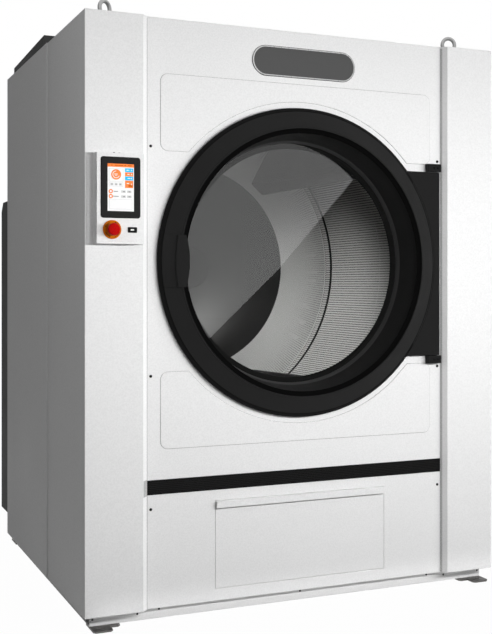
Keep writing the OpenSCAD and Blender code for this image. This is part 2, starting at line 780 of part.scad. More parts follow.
module motor_pulley() color(dark_grey) {
    turned(-motor_x, motor_z) polygon(concat(pulley_points(motor_pulley_r),
        [[0, pulley_d + pulley_w], [0, pulley_d]]));
    rod(-motor_x, motor_z, [frame_back - 80, pulley_d + 1], motor_shaft_r);
}

module drum_pulley() color(dark_grey) {
    mid = pulley_d + pulley_w / 2;
    difference() {
        turned() polygon(concat(pulley_points(drum_pulley_r), [
            [drum_pulley_r - 26, pulley_d + pulley_w], [drum_pulley_r - 26, mid + 6], [shaft_r + 28, mid + 6],
            [shaft_r + 28, pulley_d + pulley_w], [shaft_r, pulley_d + pulley_w], [shaft_r, pulley_d],
            [shaft_r + 28, pulley_d], [shaft_r + 28, mid - 6],
            [drum_pulley_r - 26, mid - 6], [drum_pulley_r - 26, pulley_d]]));
        for (a = [0 : 60 : 300])
            rod(155 * cos(a), axis_z + 155 * sin(a), [pulley_d, pulley_d + pulley_w], 45);
    }
}

// The area inside a belt that runs round two circles
module belt_area(c1, r1, c2, r2) {
    u = unit(c2 - c1);
    n = [-u.y, u.x];
    b = acos((r1 - r2) / norm(c2 - c1));
    translate(c1) circle(r1, $fn = round_fn);
    translate(c2) circle(r2, $fn = round_fn);
    polygon([c1 + r1 * (u * cos(b) + n * sin(b)), c2 + r2 * (u * cos(b) + n * sin(b)),
             c2 + r2 * (u * cos(b) - n * sin(b)), c1 + r1 * (u * cos(b) - n * sin(b))]);
}

module drive_belts() color(rubber) {
    c1 = [0, axis_z];
    c2 = [-motor_x, motor_z];
    for (i = [0 : belt_n - 1])
        plate(pulley_d + 6 + (i + 0.5) * belt_pitch - belt_w / 2, belt_w) difference() {
            belt_area(c1, drum_pulley_r - 1, c2, motor_pulley_r - 1);
            belt_area(c1, drum_pulley_r - 1 - belt_t, c2, motor_pulley_r - 1 - belt_t);
        }
}

module bearing_housing() color(dark_grey) turned() polygon([
    [bearing_r, bearing_start], [housing_flange_r, bearing_start], [housing_flange_r, plate_d],
    [bearing_tube_r, plate_d], [bearing_tube_r, bearing_start + bearing_tube_len],
    [bearing_r, bearing_start + bearing_tube_len]]);

module shaft_bearings() color(stainless)
    for (d = [bearing_start + 2, bearing_start + bearing_tube_len - bearing_w - 2])
        turned() translate([shaft_r + run_clear, d]) square([bearing_r - shaft_r - run_clear, bearing_w]);

// Drum

module drum_shaft() color(stainless) turned() polygon([
    [0, shaft_start], [shaft_r, shaft_start], [shaft_r, shaft_end - 3], [shaft_r - 3, shaft_end],
    [0, shaft_end]]);

module drum_spider() color(stainless) plate(shaft_start, hub_t) translate([0, axis_z]) difference() {
    union() {
        circle(hub_r);
        for (i = [0 : 2]) rotate(lifter_angle + 120 * i)
            polygon([[0, -arm_root], [head_r - 15, -arm_tip], [head_r - 15, arm_tip], [0, arm_root]]);
    }
    circle(shaft_r);
}

// A plain head with a round cover over the shaft's end
module drum_rear_head() color(stainless) turned() {
    folded_sheet([[shaft_r, head_d], [head_r, head_d], [drum_r, drum_end_d]], drum_t);
    front = head_d - head_cover_t;
    polygon([[0, front], [head_cover_r - 3, front], [head_cover_r, front + 3],
             [head_cover_r, head_d + 1], [0, head_d + 1]]);
}

module rotate_on_axis(a) translate([0, 0, axis_z]) rotate([0, -a, 0]) translate([0, 0, -axis_z]) children();

module drum_shell() color(stainless) turned() {
    translate([drum_r, drum_front_d]) square([drum_t, drum_len]);
    for (d = [drum_front_d + drum_len * 0.3, drum_front_d + drum_len * 0.65])
        translate([drum_r + drum_t, d])
            polygon([[-0.5, 0], [0, 0], [hoop_h, 10], [hoop_h, 30], [0, 40], [-0.5, 40]]);
}

module drum_front_plate() color(stainless) turned() polygon([
    [mouth_r, drum_front_d], [drum_r, drum_front_d], [drum_r, drum_front_d + drum_t],
    [mouth_r + drum_t, drum_front_d + drum_t], [mouth_r + drum_t, drum_front_d + mouth_lip],
    [mouth_r, drum_front_d + mouth_lip]]);

// A lifter's section: a folded ridge on the drum's wall with a narrow crown
module lifter_section(inset) {
    half = lifter_w / 2 - inset * 1.6;
    foot = lifter_foot_r + inset;
    tip = tip_r + inset;
    polygon([[-half, foot], [-24 + inset / 2, tip + 6], [-12, tip], [12, tip], [24 - inset / 2, tip + 6],
             [half, foot]]);
}

// The ridge's crown falls from the front to the rear, and its rear end follows the drum's cone
module lifter_body(inset) intersection() {
    plate(lifter_d, lifter_tip_end - lifter_d) translate([0, axis_z]) lifter_section(inset);
    along_x(-lifter_w / 2, lifter_w) translate([0, axis_z + inset])
        polygon([[lifter_d + inset, lifter_foot_r], [lifter_d + inset, tip_r],
                 [lifter_tip_end - inset * 1.5, tip_r + lifter_fall],
                 [drum_end_d - 2 - inset * 1.5, lifter_foot_r]]);
}

module drum_lifters() color(stainless) for (i = [0 : lifter_n - 1])
    rotate_on_axis(lifter_angle - 90 + i * 360 / lifter_n) difference() {
        lifter_body(0);
        lifter_body(drum_t);
    }

// Fixed collar and felt seal round the mouth

module door_collar() color(stainless) turned() folded_sheet([
    [opening_seal_r, centre_d + sheet_t], [opening_r, centre_d + sheet_t],
    [opening_r, drum_front_d + mouth_lip]], -collar_wall);

module drum_felt_seal() color(matte_black) turned()
    translate([felt_r, drum_front_d + 1]) square([mouth_r - gap - felt_r, mouth_lip - 3]);

// Door

module door_ring() color(matte_black) {
    bottom = axis_z - flange_half_h;
    top = axis_z + flange_half_h;
    slope = ring_proud / (ring_face_r - ring_lip_r);
    start_r = ring_lip_r + cone_wall + 0.6;
    difference() {
        union() {
            turned() folded_sheet([[start_r, (start_r - ring_face_r) * slope], [ring_face_r, 0],
                [ring_r, ring_shoulder], [ring_r, ring_back_d]], ring_wall);
            plate(hinge_d - flange_t / 2, flange_t) difference() {
                translate([0, bottom]) square([hinge_x, top - bottom]);
                translate([0, axis_z]) circle(ring_r - ring_wall, $fn = round_fn);
            }
            upright(hinge_x, hinge_d, [bottom, top], flange_t / 2);
        }
        for (z = [[top - hinge_pin_reach - 2, top + cut], [bottom - cut, bottom + hinge_pin_reach + 2]])
            upright(hinge_x, hinge_d, z, hinge_pin_d / 2 + slip_clear);
    }
}

module door_back_plate() color(dark_grey) turned()
    translate([cone_r(ring_back_d - 4) + cone_wall + gap, ring_back_d - 4])
        square([ring_r - ring_wall - gap - cone_r(ring_back_d - 4) - cone_wall - gap, 4]);

module door_inner_cone() color(gloss_black) turned() polygon([
    [ring_lip_r, -ring_proud], [ring_lip_r + cone_wall, -ring_proud + 1.2], [tube_r, recess_d],
    [tube_r, door_tail_d], [recess_r, door_tail_d], [recess_r, recess_d]]);

module door_bezel() color(dark_grey) turned() polygon([
    [recess_r, recess_d], [recess_r, glass_d], [glass_r, glass_d], [glass_r, glass_d - 2]]);

module door_glass() color([0.6, 0.62, 0.62, 0.35])
    rod(0, axis_z, [glass_d, glass_d + glass_t], recess_r - 5, $fn = round_fn);

module glass_gasket() color(rubber) turned()
    translate([recess_r - 5, glass_d]) square([5, glass_t]);

module glass_clamp_ring() color(dark_grey) turned()
    translate([clamp_r, glass_d + glass_t]) square([recess_r - clamp_r, clamp_t]);

module door_seal() color(rubber) turned()
    translate([opening_r + 12, ring_back_d]) square([9, centre_d - ring_back_d]);

// The handle is a plate on the ring's left side that stands over the recess
module door_handle() color(matte_black) intersection() {
    slope = ring_proud / (ring_face_r - ring_lip_r);
    step_r = ring_lip_r + 19.5;
    turned() polygon([
        [ring_face_r, 0], [ring_face_r - 2, -3], [step_r + 2, -slope * (ring_face_r - step_r) - 2.5],
        [step_r, -ring_proud - 3], [step_r - 2, -ring_proud - 4], [ring_lip_r - 90, -ring_proud - 4.5],
        [ring_lip_r - 90, -ring_proud], [ring_lip_r, -ring_proud]]);
    plate(-ring_proud - 6, ring_proud + 8) translate([0, axis_z]) intersection() {
        translate([-ring_face_r, -handle_half_h])
            square([ring_face_r - ring_lip_r + handle_overhang, 2 * handle_half_h]);
        translate([-ring_lip_r + handle_overhang - 300, 0]) circle(300, $fn = round_fn);
    }
}

module hinge_block_at(z) column(z, hinge_block_h) difference() {
    x1 = hinge_x + 11;
    polygon([[x1 - hinge_block_w, centre_d], [x1 - hinge_block_w, 3], [x1 - hinge_block_w + 3, 0],
             [x1 - 3, 0], [x1, 3], [x1, centre_d]]);
    translate([hinge_x, hinge_d]) circle(hinge_pin_d / 2 + run_clear);
}

module hinge_blocks() color(matte_black) {
    hinge_block_at(axis_z + flange_half_h + 2);
    hinge_block_at(axis_z - flange_half_h - 2 - hinge_block_h);
}

module hinge_pins() color(stainless) {
    inner = flange_half_h - hinge_pin_reach;
    outer = flange_half_h + hinge_block_h;
    upright(hinge_x, hinge_d, [axis_z + inner, axis_z + outer], hinge_pin_d / 2);
    upright(hinge_x, hinge_d, [axis_z - outer, axis_z - inner], hinge_pin_d / 2);
}

module magnet_shape(margin)
    block([-opening_seal_r - 36 - margin, -opening_seal_r - 10 + margin],
          [ring_back_d + 1, skirt_setback], [axis_z - 25 - margin, axis_z + 25 + margin]);

module door_magnet() color(zinc) magnet_shape(0);

// Control box on the left pillar

module control_box() color(white) {
    difference() {
        block([box_x0, box_x0 + box_w], [-box_d, 0], [box_z, box_z + box_h]);
        block([box_x0 + sheet_t, box_x0 + box_w - sheet_t], [-box_d - cut, -sheet_t],
              [box_z + sheet_t, box_z + box_h - sheet_t]);
        for (z = [[0.09, 0.345], [0.435, 0.895]])
            block([box_x0 - cut, box_x0 + sheet_t + cut], [-box_d + 1, -box_d + 7],
                  [box_z, box_z] + z * box_h);
    }
    block([box_x0 - 21, box_x0 + cut], [-cover_t, 0], [box_z - 3, box_z + box_h - 8]);
    difference() {
        rod(stop_x, stop_z, [-contact_d, -sheet_t], 18);
        rod(stop_x, stop_z, [-contact_d - cut, -contact_d + stop_travel + 6], stem_r + slip_clear);
    }
}

module control_box_cover() color(white) plate(-box_d - cover_t, cover_t) difference() {
    translate([box_x0, box_z]) square([box_w, box_h]);
    translate([stop_x, stop_z]) circle(stem_r + 3);
    translate([usb_x, usb_z]) square([usb_w - 6, usb_h - 6], center = true);
}

module touch_bezel() color(gloss_black)
    plate(-box_d - cover_t - bezel_t, bezel_t) translate([box_mid_x, screen_z]) difference() {
        rounded([screen_w + 2 * bezel_w, bezel_h], 7);
        square([screen_w, screen_h], center = true);
    }

module touch_screen() color([0.95, 0.95, 0.95]) plate(-box_d - cover_t - bezel_t + 0.5, bezel_t - 0.5)
    translate([box_mid_x, screen_z]) square([screen_w, screen_h], center = true);

module usb_socket() color(matte_black) difference() {
    union() {
        plate(-box_d - cover_t - 2, 2) translate([usb_x, usb_z]) rounded([usb_w, usb_h], 3);
        plate(-box_d - cover_t, 18) translate([usb_x, usb_z]) square([usb_w - 7, usb_h - 7], center = true);
    }
    plate(-box_d - cover_t - 2 - cut, 12) translate([usb_x, usb_z]) square([12, 5], center = true);
}

module estop_collar() color(stop_yellow) turned(stop_x, stop_z) polygon([
    [stem_r + slip_clear, -box_d - cover_t], [stop_disc_r, -box_d - cover_t],
    [stop_disc_r, -box_d - cover_t - stop_disc_t + 2], [stop_disc_r - 3, -box_d - cover_t - stop_disc_t],
    [stem_r + slip_clear, -box_d - cover_t - stop_disc_t]]);

module estop_stem() color(dark_grey) turned(stop_x, stop_z) polygon([
    [0, -stop_cap_back - stem_nose + 0.5], [stem_r, -stop_cap_back - stem_nose + 0.5],
    [stem_r, -contact_d - 4 + stop_travel], [0, -contact_d - 4 + stop_travel]]);

module estop_cap() color(stop_red) turned(stop_x, stop_z) polygon([
    [0, -stop_cap_back - stop_cap_t], [stop_cap_r - 5, -stop_cap_back - stop_cap_t],
    [stop_cap_r - 1, -stop_cap_back - stop_cap_t + 2], [stop_cap_r, -stop_cap_back - stop_cap_t + 5],
    [stop_cap_r, -stop_cap_back - 4], [stem_r + 5, -stop_cap_back], [stem_r + run_clear, -stop_cap_back],
    [stem_r + run_clear, -stop_cap_back - stem_nose], [0, -stop_cap_back - stem_nose]]);

// Lint drawer

// Sheets that meet edge to edge, each a solid of its own, with the drawer's runners and the fan's inlet
module lint_plenum() color(zinc) {
    side = plenum_half - sheet_t;
    width = [sheet_seam - side, side - sheet_seam];
    z = [base_top + sheet_t + sheet_seam, plenum_top];
    block([-plenum_half, plenum_half], [skirt_setback, rear_rail_d], [base_top, base_top + sheet_t]);
    both_sides() block([side, plenum_half], [skirt_setback, rear_rail_d], z);
    difference() {
        block(width, [skirt_setback, skirt_setback + sheet_t], z);
        block([-drawer_w / 2 - drawer_gap, drawer_w / 2 + drawer_gap], [0, skirt_setback + sheet_t + cut],
              [base_top, drawer_z + drawer_h + drawer_gap]);
    }
    difference() {
        block(width, [rear_rail_d - sheet_t, rear_rail_d], z);
        rod(fan_x, fan_z, [rear_rail_d - 10, rear_rail_d + cut], inlet_r);
    }
    turned(fan_x, fan_z) translate([inlet_r, rear_rail_d + sheet_seam])
        square([sheet_t, scroll_d - rear_rail_d - sheet_seam]);
    both_sides() {
        d = [skirt_setback + 20, tray_d0 + tray_len + 60];
        block([tray_half + gap, tray_half + gap + sheet_t], d, [z[0], tray_z0 + 40]);
        block([tray_half - 18, tray_half + gap - sheet_seam], d, [tray_z0 - gap - sheet_t, tray_z0 - gap]);
    }
}

module drawer_front() color(white) {
    difference() {
        block([-drawer_w / 2, drawer_w / 2], [centre_d, tray_d0], [drawer_z, drawer_z + drawer_h]);
        block([drawer_face_t - drawer_w / 2, drawer_w / 2 - drawer_face_t],
              [centre_d + drawer_face_t, tray_d0 + cut],
              [drawer_z + drawer_face_t, drawer_z + drawer_h - drawer_face_t]);
    }
    along_x(1.5 - drawer_w / 2, drawer_w - 3) folded_sheet([
        [centre_d, drawer_z + drawer_h - 1], [centre_d - lip_proud, drawer_z + drawer_h - 1],
        [centre_d - lip_proud, drawer_z + drawer_h - 1 - lip_h]]);
}

// Four walls on an open frame, each a sheet of its own
module drawer_tray() color(zinc) {
    z = [tray_z0 + sheet_t + sheet_seam, tray_z0 + tray_h];
    side = tray_half - sheet_t;
    back = tray_d0 + tray_len;
    difference() {
        block([-tray_half, tray_half], [tray_d0, back], [tray_z0, tray_z0 + sheet_t]);
        block([ledge_w - tray_half, tray_half - ledge_w], [tray_d0 + ledge_w, back - ledge_w],
              [tray_z0 - cut, tray_z0 + sheet_t + cut]);
    }
    block([-drawer_w / 2, drawer_w / 2], [tray_d0, tray_d0 + sheet_t], z);
    both_sides() block([side, tray_half], [tray_d0 + sheet_t + sheet_seam, back], z);
    block([sheet_seam - side, side - sheet_seam], [back - sheet_t, back], z);
}

// Wires across a flat frame that lies on the tray's ledge
module lint_screen() color(stainless) {
    x = [sheet_t - tray_half + 0.5, tray_half - sheet_t - 0.5];
    d = [tray_d0 + sheet_t + 0.5, tray_d0 + tray_len - sheet_t - 0.5];
    z = [tray_z0 + sheet_t, tray_z0 + sheet_t + screen_frame_t];
    bars = 24;
    difference() {
        block(x, d, z);
        block(x + [ledge_w, -ledge_w], d + [ledge_w, -ledge_w], z + [-cut, cut]);
    }
    for (i = [1 : bars - 1])
        translate([x[0] + (x[1] - x[0]) * i / bars, 0, 0])
            block([-1, 1], d + [ledge_w - 1, 1 - ledge_w], [z[0] + 1, z[0] + 3]);
    for (i = [1 : 2])
        translate([0, (d[1] - d[0]) * i / 3, 0])
            block(x + [ledge_w - 1, 1 - ledge_w], [d[0] - 3, d[0] + 3], [z[0] + 2, z[0] + 5]);
}

base_frame();
foot_plates();
upper_frame();
bearing_beams();
left_pillar_cover();
right_pillar_cover();
left_side_panel();
right_side_panel();
front_upper_panel();
front_lower_panel();
trim_strip();
roof_panel();
rear_panel();
lifting_eyes();
heater_housing();
heater_coil();
rear_housing();
exhaust_duct();
fan_scroll();
fan_motor();
fan_impeller();
gear_motor();
motor_pulley();
drive_belts();
bearing_housing();
shaft_bearings();
drum_shaft();
drum_pulley();
drum_spider();
drum_rear_head();
drum_shell();
drum_front_plate();
drum_lifters();
door_collar();
drum_felt_seal();
door_ring();
door_back_plate();
door_inner_cone();
door_bezel();
door_glass();
glass_gasket();
glass_clamp_ring();
door_seal();
door_handle();
hinge_blocks();
hinge_pins();
door_magnet();
control_box();
control_box_cover();
touch_bezel();
touch_screen();
usb_socket();
estop_collar();
estop_stem();
estop_cap();
lint_plenum();
drawer_front();
drawer_tray();
lint_screen();
panel_screws();
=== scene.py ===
"""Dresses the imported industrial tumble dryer: finishes, rounded sheet edges, screws, perforations,
the badge plate, the screen's picture, and a plain pale studio round it."""

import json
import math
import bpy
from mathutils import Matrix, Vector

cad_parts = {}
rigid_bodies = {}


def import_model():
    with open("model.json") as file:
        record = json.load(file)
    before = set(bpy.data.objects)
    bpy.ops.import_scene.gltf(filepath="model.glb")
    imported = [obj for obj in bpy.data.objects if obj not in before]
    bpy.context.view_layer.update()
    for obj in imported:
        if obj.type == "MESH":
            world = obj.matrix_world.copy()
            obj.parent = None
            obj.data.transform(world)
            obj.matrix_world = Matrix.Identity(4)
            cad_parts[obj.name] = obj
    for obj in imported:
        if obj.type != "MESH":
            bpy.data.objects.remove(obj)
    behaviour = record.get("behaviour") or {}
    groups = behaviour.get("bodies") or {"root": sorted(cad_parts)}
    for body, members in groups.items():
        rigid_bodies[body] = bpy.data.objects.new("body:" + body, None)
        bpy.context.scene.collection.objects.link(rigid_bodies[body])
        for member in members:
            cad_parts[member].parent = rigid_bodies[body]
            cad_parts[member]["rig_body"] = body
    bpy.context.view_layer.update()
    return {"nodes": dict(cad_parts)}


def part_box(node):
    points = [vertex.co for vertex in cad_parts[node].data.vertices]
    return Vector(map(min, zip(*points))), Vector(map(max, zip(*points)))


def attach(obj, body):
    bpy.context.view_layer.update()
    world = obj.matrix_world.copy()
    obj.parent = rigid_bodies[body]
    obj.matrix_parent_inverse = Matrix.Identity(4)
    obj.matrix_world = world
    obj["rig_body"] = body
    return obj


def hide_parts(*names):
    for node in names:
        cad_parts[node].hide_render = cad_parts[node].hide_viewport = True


bl_info = {
    "name": "Industrial tumble dryer",
    "version": (1, 0, 0),
    "blender": (4, 5, 0),
    "location": "View3D > Sidebar > Dryer",
    "description": "Finishes and fittings of an industrial tumble dryer, and a studio to show it in",
    "category": "Object",
}

from functools import cache
from itertools import pairwise

import bmesh
import bpy
from bpy.props import FloatProperty, FloatVectorProperty, IntProperty, PointerProperty
from mathutils import Vector

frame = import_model()

MM = 0.001
FULL_TURN = 2 * math.pi
FRONT = Vector((0, -1, 0))
UP = Vector((0, 0, 1))


def low(node):
    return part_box(node)[0]


def high(node):
    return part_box(node)[1]


def middle(node):
    return (low(node) + high(node)) / 2


# Places and sizes read from the frame

PILLAR_FACE = low("left_pillar_cover").y
PANEL_FACE = low("front_lower_panel").y
AXIS_Z = middle("door_glass").z
DRUM_RADIUS = high("drum_front_plate").x
DRUM_FRONT = low("drum_front_plate").y
SHELL_END = low("drum_rear_head").y
HEAD_SHEET = 2.5 * MM
DISC_DEPTH = low("drum_spider").y - HEAD_SHEET

# Sizes of the CAD part that its nodes' boxes don't tell

DISC_RADIUS = 0.455
RING_LIP = 0.465
RING_FACE = 0.526
FLANGE_START = 0.44
DRAWER_HEIGHT = 0.295
DRAWER_GAP = 3.5 * MM

# How finely the large rings are divided

ROUND_STEPS = 192


# Node trees


class Wire:
    """A node's output that takes part in Python expressions. Each operator adds its Math node."""

    def __init__(self, tree, socket):
        self.tree = tree
        self.socket = socket

    def __add__(self, other):
        return self.tree.maths("ADD", self, other)

    def __sub__(self, other):
        return self.tree.maths("SUBTRACT", self, other)

    def __rsub__(self, other):
        return self.tree.maths("SUBTRACT", other, self)

    def __mul__(self, other):
        return self.tree.maths("MULTIPLY", self, other)

    def __truediv__(self, other):
        return self.tree.maths("DIVIDE", self, other)

    def __rtruediv__(self, other):
        return self.tree.maths("DIVIDE", other, self)

    def __mod__(self, other):
        return self.tree.maths("MODULO", self, other)

    def __rmod__(self, other):
        return self.tree.maths("MODULO", other, self)

    __radd__ = __add__
    __rmul__ = __mul__


class Tree:
    """A node tree in the making: node() adds a node and gives its output back as a Wire."""

    def __init__(self, tree):
        self.tree = tree

    def node(self, kind, settings=None, sockets=None, out=0):
        made = self.tree.nodes.new(kind)
        for name, value in (settings or {}).items():
            setattr(made, name, value)
        for name, value in (sockets or {}).items():
            if isinstance(value, Wire):
                self.tree.links.new(value.socket, made.inputs[name])
            else:
                made.inputs[name].default_value = value
        return Wire(self, made.outputs[out]) if made.outputs else None

    def maths(self, operation, first, second=0.0):
        return self.node("ShaderNodeMath", {"operation": operation}, {0: first, 1: second})


class Finish(Tree):
    """The shader of a material, or of the world."""

    def __init__(self, owner):
        owner.use_nodes = True
        owner.node_tree.nodes.clear()
        super().__init__(owner.node_tree)
        self.owner = owner

    def place(self):
        return self.node("ShaderNodeTexCoord", out="Object")

    def stretched(self, scale):
        return self.node("ShaderNodeMapping", None, {"Vector": self.place(), "Scale": scale})

    def noise(self, scale, detail=2, place=None):
        sockets = {"Vector": place or self.place(), "Scale": scale, "Detail": detail}
        return self.node("ShaderNodeTexNoise", None, sockets)

    def mix(self, first, second, share):
        settings = {"data_type": "RGBA", "clamp_factor": True}
        return self.node("ShaderNodeMix", settings, {0: share, 6: first, 7: second}, out=2)

    def between(self, value, start, end, first=0.0, second=1.0):
        sockets = {"Value": value, 1: start, 2: end, 3: first, 4: second}
        return self.node("ShaderNodeMapRange", {"clamp": True}, sockets)

    def spread(self, noise, first=0.0, second=1.0):
        """Stretches the middle of a noise's range from one value to another."""
        return self.between(noise, 0.3, 0.7, first, second)

    def bump(self, height, distance, strength):
        sockets = {"Height": height, "Distance": distance, "Strength": strength}
        return self.node("ShaderNodeBump", None, sockets)

    def body(self, **sockets):
        named = {name.replace("_", " "): value for name, value in sockets.items()}
        return self.node("ShaderNodeBsdfPrincipled", None, named)

    def light_path(self, *titles):
        """Wires from these outputs of a Light Path node."""
        outputs = self.node("ShaderNodeLightPath").socket.node.outputs
        return [Wire(self, outputs[title]) for title in titles]


# Finishes


def shade(level, warm=0.0):
    return (level * (1 + warm), level, level * (1 - warm), 1)


def toned(colour, share):
    """The colour made darker or lighter by a share."""
    return tuple(part * share for part in colour[:3]) + (1,)


def powder_coat(finish, colour, sheen):
    """Powder coat: a fine pebbled skin with a light speckle and faint uneven patches."""
    cloud = finish.noise(2.2, 3)
    tone = finish.mix(toned(colour, 0.89), colour, finish.spread(finish.noise(210)) * 0.75 + cloud * 0.25)
    skin = finish.bump(finish.noise(520, 3), 0.25 * MM, 0.35)
    rough = finish.spread(cloud, 0.52, 0.6)
    return finish.body(Base_Color=tone, Roughness=rough, Specular_IOR_Level=sheen, Normal=skin)


def cabinet_coat(finish, sheen):
    """The powder coat in the colour that the sidebar sets."""
    return powder_coat(finish, tuple(bpy.context.scene.dryer_cabinet.coat), sheen)


def moulding(finish, colour, rough, grain, sheen):
    """Moulded plastic with an etched grain."""
    etch = finish.noise(grain, 3)
    tone = finish.mix(colour, toned(colour, 1.5), finish.between(etch, 0.45, 0.75))
    roughness = finish.spread(finish.noise(9), rough - 0.05, rough + 0.05)
    skin = finish.bump(etch, 0.3 * MM, 0.4)
    return finish.body(Base_Color=tone, Roughness=roughness, Specular_IOR_Level=sheen, Normal=skin)


def brushed_steel(finish, colour, rough, along):
    """Stainless sheet brushed along one axis, given as the stretch of the grain on each axis."""
    grain = finish.noise(1, 4, finish.stretched(along))
    tone = finish.mix(toned(colour, 0.8), colour, grain * 0.6 + finish.noise(3.1, 3) * 0.4)
    roughness = finish.spread(grain, rough - 0.06, rough + 0.08)
    skin = finish.bump(grain, 0.2 * MM, 0.25)
    return finish.body(Base_Color=tone, Metallic=1.0, Roughness=roughness, Normal=skin)


def worked_steel(finish, colour, metallic):
    """The drum's dull rolled steel, nearly even in tone."""
    cloud = finish.noise(5, 3)
    tone = finish.mix(toned(colour, 0.92), colour, cloud)
    roughness = finish.spread(cloud, 0.42, 0.5)
    return finish.body(Base_Color=tone, Metallic=metallic, Roughness=roughness, Specular_IOR_Level=0.2)


def galvanised(finish, colour):
    """Zinc-coated sheet with its crystal spangle."""
    cells = finish.node("ShaderNodeTexVoronoi", None, {"Vector": finish.place(), "Scale": 70}, out="Color")
    spangle = finish.node("ShaderNodeSeparateColor", None, {0: cells})
    tone = finish.mix(toned(colour, 0.75), colour, spangle * 0.6 + finish.noise(6) * 0.4)
    roughness = finish.between(spangle, 0.0, 1.0, 0.38, 0.52)
    return finish.body(Base_Color=tone, Metallic=0.85, Roughness=roughness)


def cast_metal(finish, colour, metallic):
    """Cast or machined iron and painted machine castings, with a sandy skin."""
    sand = finish.noise(140, 4)
    tone = finish.mix(toned(colour, 0.7), colour, sand)
    skin = finish.bump(sand, 0.8 * MM, 0.5)
    roughness = finish.spread(sand, 0.5, 0.65)
    return finish.body(Base_Color=tone, Metallic=metallic, Roughness=roughness, Normal=skin)


def rubber(finish, colour, rough):
    """Rubber and felt: dull, with a soft uneven tone."""
    fluff = finish.noise(420, 4)
    tone = finish.mix(colour, toned(colour, 1.8), finish.between(fluff, 0.4, 0.8))
    skin = finish.bump(fluff, 0.4 * MM, 0.5)
    return finish.body(Base_Color=tone, Roughness=rough, Specular_IOR_Level=0.2, Normal=skin)


def clear_glass(finish, tint):
    """The door's glass, faintly uneven in tint. Lamps light the drum straight through it."""
    tone = finish.mix(toned(tint, 0.98), tint, finish.noise(3))
    pane = finish.body(Base_Color=tone, Roughness=0.0, IOR=1.6, Transmission_Weight=1.0)
    open_way = finish.node("ShaderNodeBsdfTransparent", None, {"Color": tint})
    (lamp_ray,) = finish.light_path("Is Shadow Ray")
    return finish.node("ShaderNodeMixShader", None, {0: lamp_ray, 1: pane, 2: open_way})


def glowing(finish, colour, strength):
    """A lit patch of the touch screen, with the fine grid of its dots."""
    tone = finish.mix(toned(colour, 0.94), colour, finish.noise(900, 0))
    return finish.body(
        Base_Color=tone, Roughness=0.25, Specular_IOR_Level=0.2, Emission_Color=tone,
        Emission_Strength=strength)


def seen_ray(finish):
    """1 for rays that see the background: from the camera, or by way of a shine or glass.

    What the inside of the drum sees through the glass is ambient light.
    """
    camera, shine, through, scattered, mirrored = finish.light_path(
        "Is Camera Ray", "Is Glossy Ray", "Is Transmission Ray", "Diffuse Depth", "Glossy Depth")
    straight = finish.between(scattered + mirrored, 0.0, 1.0, 1.0, 0.0)
    return finish.maths("MAXIMUM", finish.maths("MAXIMUM", camera, shine), through * straight)


def pale_floor(finish, seen_share):
    """A floor that shows nearly white and keeps the soft shadow."""
    tone = finish.mix(shade(0.3), shade(0.32), finish.noise(3))
    ground = finish.node("ShaderNodeBsdfDiffuse", None, {"Color": tone})
    pale = finish.node("ShaderNodeEmission", None, {"Color": shade(1.0), "Strength": 1.0})
    return finish.node("ShaderNodeMixShader", None, {0: seen_ray(finish) * seen_share, 1: ground, 2: pale})


def black_card(finish):
    return finish.node("ShaderNodeBsdfDiffuse", None, {"Color": shade(0.0)})


